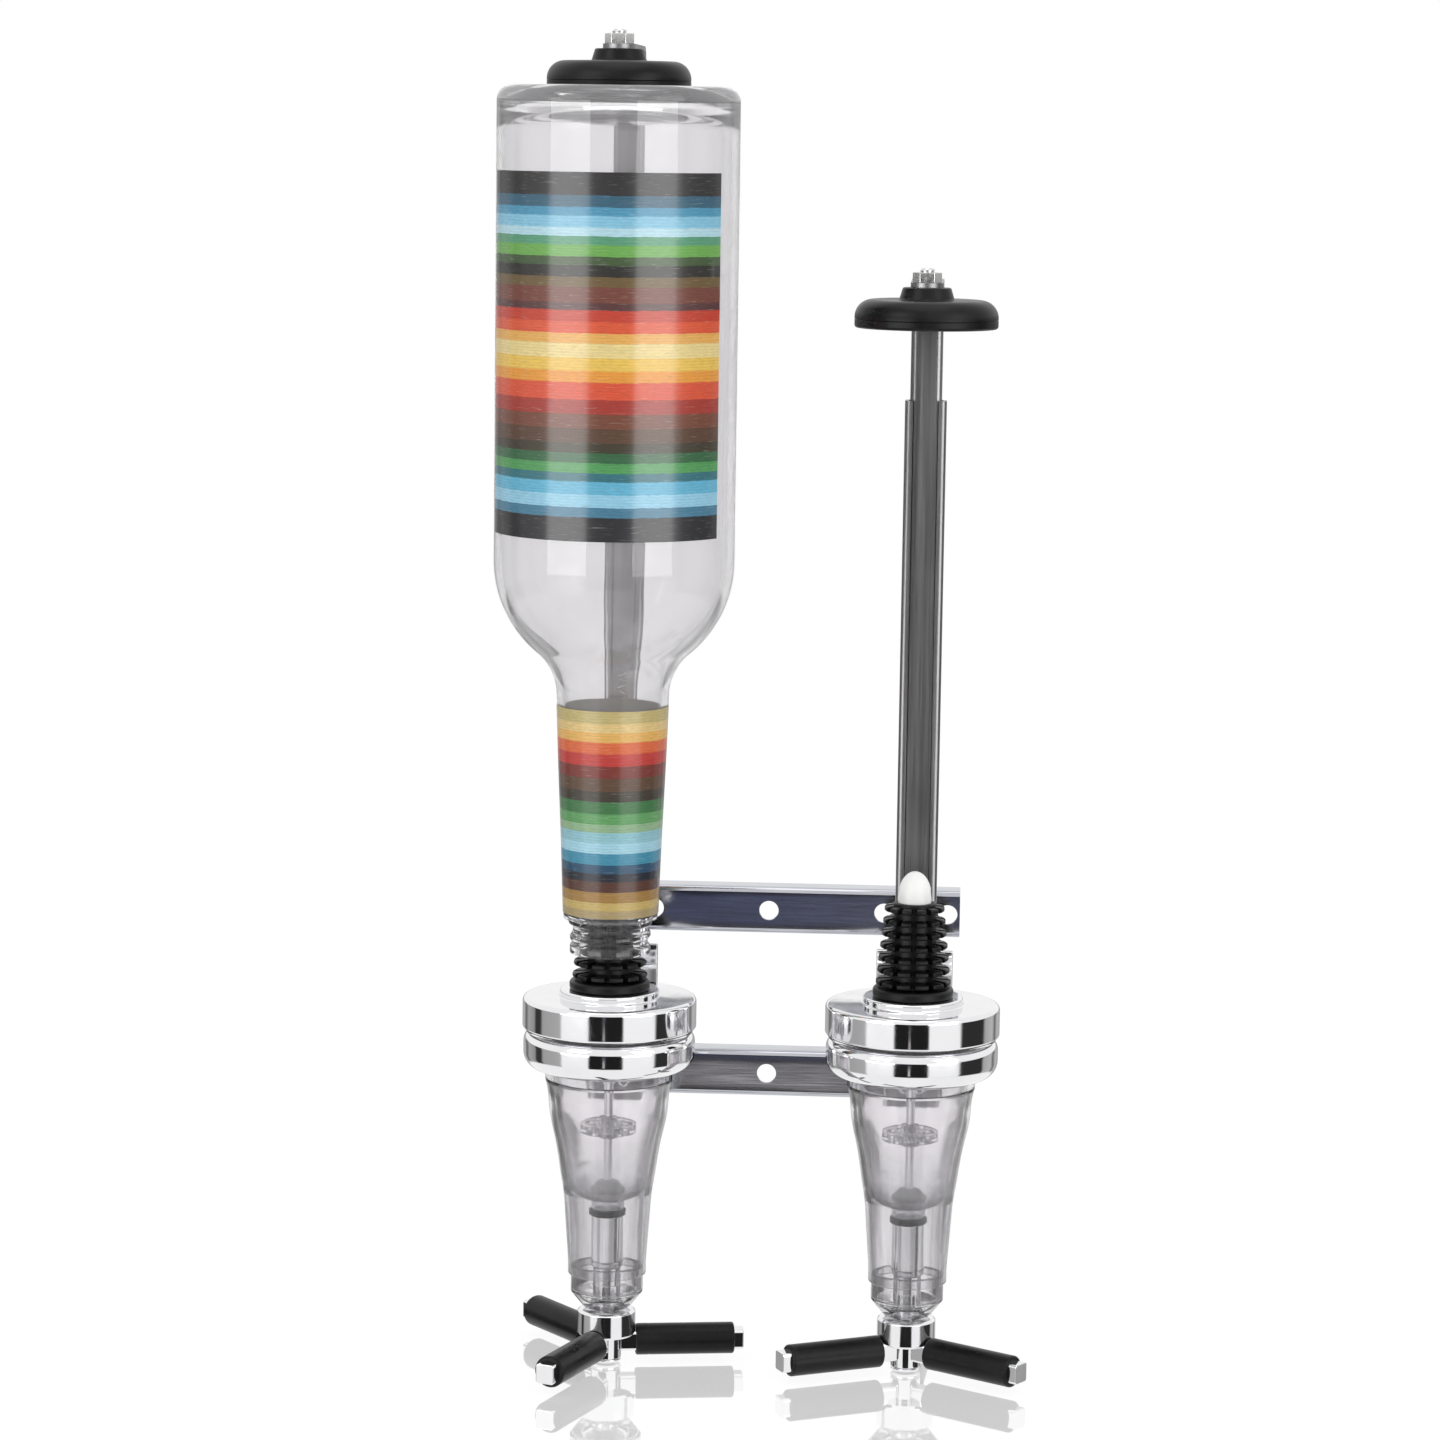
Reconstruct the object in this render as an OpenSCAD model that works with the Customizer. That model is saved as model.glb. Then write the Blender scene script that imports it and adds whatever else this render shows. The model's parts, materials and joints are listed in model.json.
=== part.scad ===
// Wall-mounted spirit optic dispenser with two measuring stations.
// The origin is where the two centre wall screws bear on the crossbars, halfway between them.
// +X is to the right as a barman faces it, the bottles stand off towards -Y, and +Z is up.

/* [Stations] */
// Distance between the two bottle axes
station_pitch = 97; // [92:1:130]
// Clearance between a bottle and the track behind it
bottle_clear = 3; // [2:0.5:12]
// Height of the top of the optic caps
cap_top = 7.7; // [4:0.1:12]

/* [Crossbars] */
// Length of bar past the middle of the outermost wall-screw holes
bar_end = 4; // [3.5:0.5:20]
// Height of each crossbar
bar_h = 15.5; // [14:0.5:20]
// Depth of the channel that holds the bar face off the wall
bar_depth = 9; // [7:0.5:14]
// Sheet thickness of the crossbars
bar_t = 1.5; // [1:0.1:2]
// Height between the two crossbars
bar_pitch = 55; // [48:1:70]
// Diameter of the wall-screw holes
wall_hole_d = 6.4; // [4:0.1:7]
// Clearance between a track and the wall-screw holes beside it
side_hole_clear = 0.55; // [0.3:0.05:3]

/* [Track and arm] */
// Width of the fixed track
track_w = 13.5; // [13:0.1:15]
// Depth of the fixed track
track_d = 8; // [7.8:0.1:9]
// Sheet thickness of the track
track_t = 1.2; // [0.8:0.1:1.4]
// Width of each of the track's front lips
lip_w = 2.6; // [1.5:0.1:3]
// Length of the arm's spring at rest
pull_len = 49.4; // [30:0.1:80]
// Sheet thickness of the sliding arm
arm_t = 1.5; // [1:0.1:1.8]
// Gap between the sliding arm and the track, each side
arm_gap = 0.4; // [0.3:0.05:0.5]
// Length of the arm that stays in the track when it is fully raised
arm_hold = 39; // [30:1:40]
// Height of the arm's strip over the top of the track when the arm is fully down
strip_over_track = 38; // [8:1:80]
// How far the arm is raised to hold the bottle
arm_lift = 72.4; // [0:0.1:120]
// How much further the arm can be raised
arm_spare = 47.6; // [5:0.1:60]

/* [Bottle pad] */
// Radius of the rubber pad
pad_r = 22.5; // [19:0.5:25]
// Height of the pad's shoulder over its rim
pad_h = 8.9; // [7.5:0.1:11]
// Radius of the boss on the pad
pad_boss_r = 7.75; // [6.5:0.25:9]
// Height of the boss on the pad
pad_boss_h = 3.8; // [2:0.1:6]
// Diameter of the pad bolt
pad_bolt_d = 4.8; // [4:0.1:6]

/* [Bottle] */
// Radius of the bottle's body
bottle_r = 38; // [35:0.5:46]
// Height of the bottle's mouth over the cap
mouth_z = 14; // [13:0.1:14.5]
// Length of the straight body, from the base to the shoulder
bottle_body_len = 148.3; // [130:0.5:160]
// Radius of the neck at the shoulder
neck_r = 17.8; // [16:0.1:19]
// Radius of the neck at the finish
neck_low_r = 15.1; // [14.6:0.1:16]
// Radius of the finish at the mouth
finish_r = 12.9; // [12:0.1:14]
// Radius of the bore in the mouth
mouth_bore_r = 9.8; // [9.2:0.1:10.2]
// Thickness of the glass in the body
glass_t = 2.4; // [2:0.1:3]
// Height of the body label
label_h = 112.6; // [80:1:116]
// Angle that the body label covers
label_angle = 136; // [90:1:300]
// Angle from the front to the middle of the body label, to the left
label_turn = 7; // [0:1:30]
// Thickness of the labels
label_t = 0.15; // [0.1:0.05:0.2]

/* [Optic] */
// Radius of the chamber where it hangs in the ring
chamber_r = 20.4; // [19.5:0.1:25]
// Width of the chamber's flange, which the cap screws over
flange_w = 3.6; // [3:0.1:6]
// Thickness of the cap's rim
cap_t = 3.55; // [2:0.05:6]
// Height of the cap's rim
cap_h = 10; // [9:0.1:12]
// Radius of the boss that the stopper stands on
boss_r = 16; // [14:0.1:18]
// Height of that boss
boss_h = 2.4; // [1.5:0.1:3]
// Height of the holder ring
ring_h = 12.2; // [11:0.1:14]
// Depth of the measure bowl's floor below the top of the cap
bowl_depth = 64.6; // [52:0.1:80]
// Thickness of the chamber's wall
chamber_t = 1.9; // [1.5:0.1:2.2]
// Thickness of the chamber's wall round the nose
sleeve_t = 0.92; // [0.8:0.01:1.5]
// Radius of the sliding nose
nose_r = 11.6; // [11:0.1:14]
// How far the nose is pushed up to pour
pour_travel = 8; // [6:0.1:10]

/* [Stopper] */
// Number of rings of knobs
knob_rows = 7; // [5:1:8]
// Number of knobs round each ring
knob_columns = 12; // [8:1:16]
// Height from one ring of knobs to the next
knob_pitch = 3.95; // [3.6:0.05:4]
// Radius of the lowest ring of knobs
knob_low_r = 12; // [11:0.1:12.5]
// Radius of the highest ring of knobs
knob_high_r = 9.6; // [9.2:0.1:10]
// Radius of the stopper's foot
foot_r = 12.9; // [12.6:0.1:14]

/* [Trigger] */
// Distance from the axis to the end of each trigger arm
trigger_reach = 44.5; // [30:0.5:46]
// Width of the square trigger rod
rod_w = 6.3; // [5:0.1:7]
// Thickness of the rubber grip over the rod's rounded corners
grip_t = 1.05; // [0.7:0.05:2]
// Length of rod that each grip leaves bare
rod_end = 3; // [1:0.1:8]
// Where the left trigger stands, turned from the right
left_trigger_turn = 9; // [0:1:119]
// Where the right trigger stands, turned from the right
right_trigger_turn = 86; // [0:1:119]

/* [Hidden] */
$fn = 96;

LEFT = -1;
RIGHT = 1;
// Smallest gap between pieces that move past each other, and a running fit
gap = 0.3;
running = 0.05;
// Overlap of a cut past the face that it opens
cut = 1;
// Radius inside each bend of the folded sheet pieces
fold_r = 0.4;

// Stations and crossbars
axis_out = bottle_r + bottle_clear + track_d;
side_hole_out = track_w / 2 + side_hole_clear + wall_hole_d / 2;
bar_len = station_pitch + 2 * (side_hole_out + bar_end);

// Track and arm, across the depth: the track's back lies on the crossbar faces
track_low = -(bar_pitch + bar_h) / 2;
arm_w = track_w - 2 * track_t - 2 * arm_gap;
arm_d = track_d - 2 * track_t - 2 * arm_gap;
arm_back = -track_t - arm_gap;
arm_front = arm_back - arm_d;
bend_r = 4;
// Height of the strip over the pad's rim
strip_z = pad_h + pad_boss_h;
nut_h = 3.2;
nut_flats = pad_bolt_d + 3.2;
bolt_end = 1.3;
bolt_head_r = pad_bolt_d / 2 + 1.8;
bolt_head_h = 2.4;
pad_roof = 3.2;

// Rivets and screws that join track, crossbars and holder
screw_r = 1.5;
screw_head_r = 2.8;
screw_head_h = 1.8;
screw_nut_flats = 5.5;
screw_nut_h = 2.4;
rivet_r = 1.5;
rivet_head_r = 2.2;
rivet_head_h = 1;
fastener_out = screw_nut_flats / 2 + gap;
plate_w = track_w + 11.5;
plate_t = 2;
plate_top = cap_top + 1.7;
plate_low = track_low + 0.5;
plate_corner = 2.5;

// Arm spring, hung from a pin through the track and hooked under the arm
pin_z = -13;
pin_r = 1;
pin_head_r = 1.7;
pin_head_h = 0.7;
hook_t = 1.5;
pull_r = 1.85;
pull_wire_r = 0.35;
pull_curls = 24;
pull_y = -track_d / 2 - 0.7;

// Heights of the arm when it is fully down, and what follows from its travel
arm_travel = arm_lift + arm_spare;
arm_foot = pin_z + pin_r + pull_len + 2 * gap;
track_top = arm_foot + arm_travel + arm_hold;
pad_low = track_top + strip_over_track - strip_z - cap_top;

// Optic, from the top of the cap down
cap_roof = 3;
cap_edge = 1.2;
flange_r = chamber_r + flange_w;
thread_r = flange_r + gap;
cap_r = thread_r + cap_t;
gasket_t = 0.6;
gasket_w = 4.6;
flange_top = -cap_roof - gasket_t;
ring_r = cap_r - 0.35;
rim_r = ring_r - 1.1;
rim_t = 0.9;
ring_top = -cap_h - 1;
ring_bore_r = chamber_r + 0.4;
ring_low = ring_top - ring_h;
ring_curve_r = 5.4;
band_low = ring_low - 3.8;
bowl_gap = 0.4;
bowl_t = 1.3;
bowl_recess_r = flange_r - 2;
bowl_lip_r = bowl_recess_r - gap;
bowl_seat = -9;
bowl_lip_t = 1.6;
bowl_floor = -bowl_depth;
bowl_low = bowl_floor - 1.4;
outlet_r = 4.2;
outlet_low = bowl_low - 3.2;
seal_r = 5.94;
seal_t = 2.3;
tube_r = 5.3;
tube_bore_r = 4.5;
tube_roof = 1.5;
tube_top = outlet_low - seal_t;
// Room for the return spring when the nose is up, and how far the stem stays in the tube
return_room = 3.5;
stem_hold = 4;
stem_r = tube_bore_r - running;
stem_top = tube_top - tube_roof - return_room - pour_travel;
tube_low = stem_top - stem_hold;
// The nose, with room for the tube's end inside it when it is up
nose_floor = tube_low - pour_travel - 2;
nose_cone_top = nose_floor + 1.5;
nose_top = nose_cone_top + 9;
nose_low = nose_floor - 3.5;
nose_low_r = nose_r - 4;
nose_wall = 1.8;
nose_hold = 3;
chamber_low = nose_top - nose_hold;
sleeve_bore_r = nose_r + running;
sleeve_bore_top = nose_top + pour_travel + 1;
sleeve_r = sleeve_bore_r + sleeve_t;
spout_r = 4;
spout_bore_r = 2.9;
spout_end_r = 4.85;
spindle_r = 1.4;
spindle_top = -3;
spindle_low = nose_floor + 6.5;
vane_t = 1.2;
vane_len = 5;
inlet_r = 4;
inlet_bore_r = 2.4;
inlet_low = -5;
inlet_flange_r = 7;
tip_r = 5.3;
tip_z = 32.7;
tip_h = 9.9;
inlet_valve_z = inlet_low - pour_travel - 0.4;
disc_z = bowl_floor + 20.6;
disc_r = 9;
disc_t = 2.6;
disc_holes = 6;

// Stopper
stopper_core_r = 7.4;
stopper_top_r = 6.8;
stopper_top = tip_z;
foot_t = 3;
knob_first = 7;
knob_root_t = 2.4;
knob_tip_t = 1.5;
knob_slot = 1.7;

// Return spring in the outlet tube
return_r = 3.6;
return_wire_r = 0.3;
return_curls = 5;

// Trigger
hub_top = nose_low - 0.9;
hub_r = 9.36;
hub_low = hub_top - 8.6;
hub_edge = 0.8;
rod_z = hub_low - 2;
rod_in = spout_r + 0.45;
rod_round_r = rod_w / 2 + 0.9;
grip_r = rod_round_r + grip_t;
grip_in = hub_r + 0.1;
grip_len = trigger_reach - rod_end - grip_in;
stem_low = rod_z - rod_w / 2 - 2.25;
lip_h = 1.2;

// Bottle: heights over the cap, with the bottle standing on its mouth and the pad on its base.
// The base has a shallow recess that the pad sits in.
recess_d = 1.6;
recess_r = pad_r + 5;
recess_edge = 3;
heel_r = 4.8;
base_z = pad_low + arm_lift + recess_d - gap;
shoulder_z = base_z - bottle_body_len;
finish_top = mouth_z + 12.5;
// A shoulder of the body's own radius runs on through a fillet into the neck
shoulder_drop = bottle_r + 5;
neck_z = shoulder_z - shoulder_drop;
fillet_r = (pow(shoulder_drop, 2) + pow(neck_r, 2) - pow(bottle_r, 2)) / (2 * (bottle_r - neck_r));
meet = atan2(shoulder_drop, neck_r + fillet_r);
// Labels: clear of the shoulder, the finish and the neck's curve
label_up = 9.3;
neck_label_low = finish_top + 1;
neck_label_high = neck_z - 3;

// ---- Shapes used by several pieces ----

// Points of an arc about [x, z], from one angle to another
function arc(x, z, r, from, to, steps = 6) =
    [for (i = [0:steps]) let (a = from + (to - from) * i / steps) [x + r * cos(a), z + r * sin(a)]];

// A half outline with its mirror image, as one closed outline about x = 0
function both_halves(half) =
    concat(half, [for (i = [len(half) - 1:-1:0]) [-half[i][0], half[i][1]]]);

module turned(points) {
    rotate_extrude() polygon(points);
}

// A cylinder along Y from one depth to another
module across(r, from, to, sides = $fn) {
    translate([0, from, 0]) rotate([-90, 0, 0]) cylinder(r = r, h = to - from, $fn = sides);
}

module at_station(side) {
    translate([side * station_pitch / 2, -axis_out, cap_top]) children();
}

module at_track(side) {
    translate([side * station_pitch / 2, 0, 0]) children();
}

// The frame of an arm: its origin is on the bottle axis at the pad's rim
module at_pad(side) {
    lift = side == LEFT ? arm_lift : 0;
    at_station(side) translate([0, 0, pad_low + lift]) children();
}

// Rings of a round wire wound as a helix, with both ends turned straight along Z
RINGS = 8;
SIDES = 6;
function wire_centre(r, low, high, curls, i) =
    let (a = 360 * i / RINGS) [r * cos(a), r * sin(a), low + (high - low) * i / (RINGS * curls)];
function wire_ring(c, a, lean, w) =
    [for (k = [0:SIDES - 1]) let (u = w * cos(360 * k / SIDES), v = w * sin(360 * k / SIDES))
        c + u * [cos(a), sin(a), 0] + v * (cos(lean) * [-sin(a), cos(a), 0] - sin(lean) * [0, 0, 1])];
function wire_points(r, w, low, high, curls) =
    let (n = RINGS * curls, rise = 2 * w)
    concat(
        wire_ring([r, 0, low], 0, 0, w),
        wire_ring([r, 0, low + rise], 0, 45, w),
        [for (i = [1:n - 1]) each wire_ring(
            wire_centre(r, low + rise, high - rise, curls, i), 360 * i / RINGS, 90, w)],
        wire_ring([r, 0, high - rise], 0, 45, w),
        wire_ring([r, 0, high], 0, 0, w));
function turn_gap(r, w, low, high, curls) =
    min([for (i = [1:RINGS * (curls - 1) - 1]) norm(
        wire_centre(r, low + 2 * w, high - 2 * w, curls, i + RINGS)
        - wire_centre(r, low + 2 * w, high - 2 * w, curls, i)) - 2 * w]);

module wound_spring(r, w, low, high, curls) {
    points = wire_points(r, w, low, high, curls);
    rings = len(points) / SIDES;
    echo(least_gap = turn_gap(r, w, low, high, curls));
    polyhedron(points, concat(
        [[for (k = [0:SIDES - 1]) k]],
        [for (i = [0:rings - 2], k = [0:SIDES - 1]) let (j = (k + 1) % SIDES, a = i * SIDES)
            [a + k, a + SIDES + k, a + SIDES + j]],
        [for (i = [0:rings - 2], k = [0:SIDES - 1]) let (j = (k + 1) % SIDES, a = i * SIDES)
            [a + k, a + SIDES + j, a + j]],
        [[for (k = [SIDES - 1:-1:0]) (rings - 1) * SIDES + k]]));
}

// ---- Wall bracket ----

// A folded channel with its web to the front and two flanges back to the wall
module crossbar(z) {
    outer = bar_t + fold_r;
    color("silver") translate([0, 0, z]) difference() {
        translate([-bar_len / 2, 0, 0]) rotate([90, 0, 90]) linear_extrude(bar_len)
            polygon(concat(
                [[bar_depth, bar_h / 2]], arc(outer, bar_h / 2 - outer, outer, 90, 180, 5),
                arc(outer, outer - bar_h / 2, outer, 180, 270, 5), [[bar_depth, -bar_h / 2]],
                [[bar_depth, bar_t - bar_h / 2]], arc(outer, outer - bar_h / 2, fold_r, 270, 180, 3),
                arc(outer, bar_h / 2 - outer, fold_r, 180, 90, 3), [[bar_depth, bar_h / 2 - bar_t]]));
        across(wall_hole_d / 2, -cut, bar_t + cut);
        for (side = [LEFT, RIGHT], out = [-side_hole_out, side_hole_out])
            translate([side * station_pitch / 2 + out, 0, 0])
                across(wall_hole_d / 2, -cut, bar_t + cut);
        for (side = [LEFT, RIGHT], out = [-fastener_out, fastener_out])
            translate([side * station_pitch / 2 + out, 0, 0])
                across(z > 0 ? rivet_r : screw_r, -cut, bar_t + cut);
    }
}

// A folded channel with its web on the crossbars and two lips turned in at the front
module track(side) {
    outer = track_t + fold_r;
    x = track_w / 2 - outer;
    half = concat(
        arc(x, -outer, outer, 90, 0, 4), arc(x, outer - track_d, outer, 0, -90, 4),
        [[track_w / 2 - lip_w, -track_d], [track_w / 2 - lip_w, track_t - track_d]],
        arc(x, outer - track_d, fold_r, -90, 0, 3), arc(x, -outer, fold_r, 0, 90, 3));
    color("gray") at_track(side) difference() {
        translate([0, 0, track_low]) linear_extrude(track_top - track_low)
            polygon(both_halves(half));
        for (out = [-fastener_out, fastener_out]) {
            translate([out, 0, bar_pitch / 2]) across(rivet_r, -track_t - cut, cut);
            translate([out, 0, -bar_pitch / 2]) across(screw_r, -track_d - cut, cut);
        }
        translate([0, pull_y, pin_z]) rotate([0, 90, 0])
            cylinder(r = pin_r, h = track_w + 2 * cut, center = true);
    }
}

module track_rivets() {
    color("lightgray") for (side = [LEFT, RIGHT], out = [-fastener_out, fastener_out])
        at_track(side) translate([out, 0, bar_pitch / 2]) {
            across(rivet_r, -track_t, bar_t);
            across(rivet_head_r, -track_t - rivet_head_h, -track_t);
            across(rivet_head_r, bar_t, bar_t + rivet_head_h);
        }
}

// A turned ring on an arm, with an upright plate that the screws clamp over the track
module holder_ring(side) {
    color("silver") {
        at_station(side) difference() {
            union() {
                turned(concat(
                    [[ring_bore_r, ring_top]],
                    arc(ring_r - 0.8, ring_top - 0.8, 0.8, 90, 0, 4),
                    arc(ring_r - ring_curve_r, ring_low + ring_curve_r, ring_curve_r, 0, -90, 8),
                    [[ring_bore_r, ring_low]]));
                holder_arm();
            }
            translate([0, 0, ring_low - cut]) cylinder(r = ring_bore_r, h = ring_h + 2 * cut);
        }
        holder_plate(side);
    }
}

// The arm from the ring back to the plate, with a web under it
module holder_arm() {
    back = axis_out - track_d - plate_t;
    translate([-6, ring_r - 4, ring_low + 2]) cube([12, back - ring_r + 4, ring_h - 4]);
    translate([-1.5, 0, 0]) rotate([90, 0, 90]) linear_extrude(3)
        polygon([[ring_r - 4, ring_low + 3], [back, ring_low + 3],
            [back, screw_head_r + gap - bar_pitch / 2 - cap_top]]);
}

module holder_plate(side) {
    low = plate_low + plate_corner;
    at_track(side) difference() {
        union() {
            translate([-plate_w / 2, -track_d - plate_t, low])
                cube([plate_w, plate_t, plate_top - low - plate_corner]);
            translate([-plate_w / 2 + plate_corner, -track_d - plate_t, plate_low])
                cube([plate_w - 2 * plate_corner, plate_t, plate_top - plate_low]);
            for (x = [-1, 1] * (plate_w / 2 - plate_corner), z = [low, plate_top - plate_corner])
                translate([x, 0, z]) across(plate_corner, -track_d - plate_t, -track_d);
        }
        for (out = [-fastener_out, fastener_out]) translate([out, 0, -bar_pitch / 2])
            across(screw_r, -track_d - plate_t - cut, -track_d + cut);
    }
}

module at_screws() {
    for (side = [LEFT, RIGHT], out = [-fastener_out, fastener_out])
        at_track(side) translate([out, 0, -bar_pitch / 2]) children();
}

module holder_screws() {
    face = -track_d - plate_t;
    color("silver") at_screws() {
        across(screw_r, face, bar_t + screw_nut_h + 1);
        translate([0, face, 0]) rotate([90, 0, 0]) turned(concat(
            [[0, 0], [screw_head_r, 0]],
            arc(screw_head_r - 1.2, screw_head_h - 1.2, 1.2, 0, 90, 4), [[0, screw_head_h]]));
    }
}

module holder_nuts() {
    color("silver") at_screws() difference() {
        rotate([0, 30, 0]) across(screw_nut_flats / sqrt(3), bar_t, bar_t + screw_nut_h, 6);
        across(screw_r, bar_t - cut, bar_t + screw_nut_h + cut);
    }
}

module spring_pins() {
    color("silver") for (side = [LEFT, RIGHT]) at_track(side)
        translate([0, pull_y, pin_z]) rotate([0, 90, 0]) {
            cylinder(r = pin_r, h = track_w, center = true);
            for (end = [-1, 1]) translate([0, 0, end * (track_w + pin_head_h) / 2])
                cylinder(r = pin_head_r, h = pin_head_h, center = true);
        }
}

// ---- Bottle arm ----

// A channel that runs in the track, bent forward at the top into a strip over the pad
module slider(side) {
    web_y = axis_out + arm_front;
    top = strip_z + arm_t;
    low = arm_foot - cap_top - pad_low;
    bend_z = strip_z - bend_r;
    outer = arm_t + fold_r;
    x = arm_w / 2 - outer;
    half = concat(
        arc(x, outer, outer, -90, 0, 4), [[arm_w / 2, arm_d], [arm_w / 2 - arm_t, arm_d]],
        arc(x, outer, fold_r, 0, -90, 3));
    color("silver") at_pad(side) {
        translate([0, web_y, low]) linear_extrude(bend_z - low) polygon(both_halves(half));
        translate([-arm_w / 2, web_y - bend_r, bend_z]) rotate([90, 0, 90])
            rotate_extrude(angle = 90) translate([bend_r, 0]) square([arm_t, arm_w]);
        difference() {
            union() {
                translate([-arm_w / 2, 0, strip_z]) cube([arm_w, web_y - bend_r, arm_t]);
                translate([0, 0, strip_z]) cylinder(r = arm_w / 2, h = arm_t);
            }
            translate([0, 0, strip_z - cut]) cylinder(r = pad_bolt_d / 2, h = top);
        }
        // The lug under which the spring hooks
        translate([arm_t / 2 - arm_w / 2, web_y + arm_t / 2, low])
            cube([arm_w - arm_t, arm_d - arm_t, hook_t]);
    }
}

module pad(side) {
    shoulder_r = pad_r - 5.5;
    color([0.1, 0.1, 0.1]) at_pad(side) turned(concat(
        [[pad_bolt_d / 2, pad_roof], [9, pad_roof], [18.5, 0.9], [pad_r - 2, 0], [pad_r - 0.5, 0]],
        arc(pad_r - 1, 1, 1, -60, 0, 3),
        arc(shoulder_r, pad_h - 5.5, 5.5, 0, 84, 8),
        [[pad_boss_r + 0.8, pad_h], [pad_boss_r, pad_h + 0.8]],
        arc(pad_boss_r - 0.6, strip_z - 0.6, 0.6, 0, 90, 3),
        [[pad_bolt_d / 2, strip_z]]));
}

module pad_bolt(side) {
    color("silver") at_pad(side) {
        translate([0, 0, pad_roof]) cylinder(r = pad_bolt_d / 2,
            h = strip_z + arm_t + nut_h + bolt_end - pad_roof);
        translate([0, 0, pad_roof - bolt_head_h]) turned(concat(
            [[0, 0]], arc(bolt_head_r - 1, 1, 1, -90, 0, 4),
            [[bolt_head_r, bolt_head_h], [0, bolt_head_h]]));
    }
}

module pad_nut(side) {
    color("silver") at_pad(side) translate([0, 0, strip_z + arm_t]) difference() {
        cylinder(r = nut_flats / sqrt(3), h = nut_h, $fn = 6);
        translate([0, 0, -cut]) cylinder(r = pad_bolt_d / 2, h = nut_h + 2 * cut);
    }
}

module pull_spring(side) {
    lift = side == LEFT ? arm_lift : 0;
    color("gray") at_track(side) translate([0, pull_y, 0])
        wound_spring(pull_r, pull_wire_r, pin_z + pin_r + gap, arm_foot + lift - gap, pull_curls);
}

// ---- Optic: fixed pieces ----

module cap(side) {
    color("silver") at_station(side) turned(concat(
        [[inlet_r, -cap_roof], [inlet_r, boss_h]],
        arc(boss_r - 0.6, boss_h - 0.6, 0.6, 90, 0, 4), [[boss_r, 0]],
        arc(cap_r - cap_edge, -cap_edge, cap_edge, 90, 0, 6),
        arc(cap_r - 0.8, -cap_h + 0.8, 0.8, 0, -90, 4),
        [[thread_r, -cap_h], [thread_r, -cap_roof]]));
}

module cap_gasket(side) {
    outer_r = flange_r - 0.4;
    color([0.15, 0.15, 0.15]) at_station(side) turned([[outer_r - gasket_w, -cap_roof],
        [outer_r, -cap_roof], [outer_r, flange_top], [outer_r - gasket_w, flange_top]]);
}

// The chamber's taper: how far down from its straight band to the bowl's underside, and how
// much of the way its radius has come in from the band to the sleeve
chamber_taper = [for (p = [[0.13, 0.13], [0.3, 0.21], [0.55, 0.48], [0.8, 0.67], [0.97, 0.8],
        [1.23, 0.89]])
    [band_low + p[0] * (bowl_low - band_low), chamber_r + p[1] * (sleeve_r - chamber_r)]];

module chamber(side) {
    color([0.85, 0.9, 0.95, 0.45]) at_station(side) turned(concat(
        [[bowl_recess_r, flange_top], [flange_r, flange_top], [flange_r, ring_top + rim_t],
         [rim_r, ring_top + rim_t], [rim_r, ring_top], [chamber_r, ring_top],
         [chamber_r, band_low], [chamber_r - 0.8, band_low - 0.6]],
        [for (p = chamber_taper) [p[1], p[0]]],
        [[sleeve_r, chamber_low], [sleeve_bore_r, chamber_low], [sleeve_bore_r, sleeve_bore_top]],
        [for (i = [len(chamber_taper) - 1:-1:0])
            [chamber_taper[i][1] - chamber_t, chamber_taper[i][0]]],
        [[chamber_r - chamber_t - 0.3, band_low], [chamber_r - chamber_t - 0.3, bowl_seat],
         [bowl_recess_r, bowl_seat]]));
}

// The measure itself: a cup that hangs by its lip in the chamber and drains at the bottom
module measure_bowl(side) {
    function wall(inset) = concat(
        [[chamber_r - chamber_t - 0.3 - inset, bowl_seat],
         [chamber_r - chamber_t - 0.3 - inset, band_low]],
        [for (i = [0:3]) [chamber_taper[i][1] - chamber_t - inset, chamber_taper[i][0]]]);
    outer = wall(bowl_gap);
    inner = wall(bowl_gap + bowl_t);
    end_r = chamber_taper[3][1] - chamber_t - bowl_gap;
    color([0.9, 0.93, 0.96, 0.5]) at_station(side) turned(concat(
        [[bowl_lip_r, bowl_seat + bowl_lip_t], [bowl_lip_r, bowl_seat]], outer,
        arc(end_r - 7, bowl_low + 7, 7, -5, -90, 7),
        [[outlet_r + 1.2, bowl_low], [outlet_r + 1.2, outlet_low], [outlet_r, outlet_low],
         [outlet_r, bowl_floor]],
        arc(end_r - 7, bowl_floor + 5.7, 5.7, -90, -5, 6),
        [for (i = [len(inner) - 1:-1:1]) inner[i]],
        [[inner[0][0], bowl_seat + bowl_lip_t]]));
}

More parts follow.
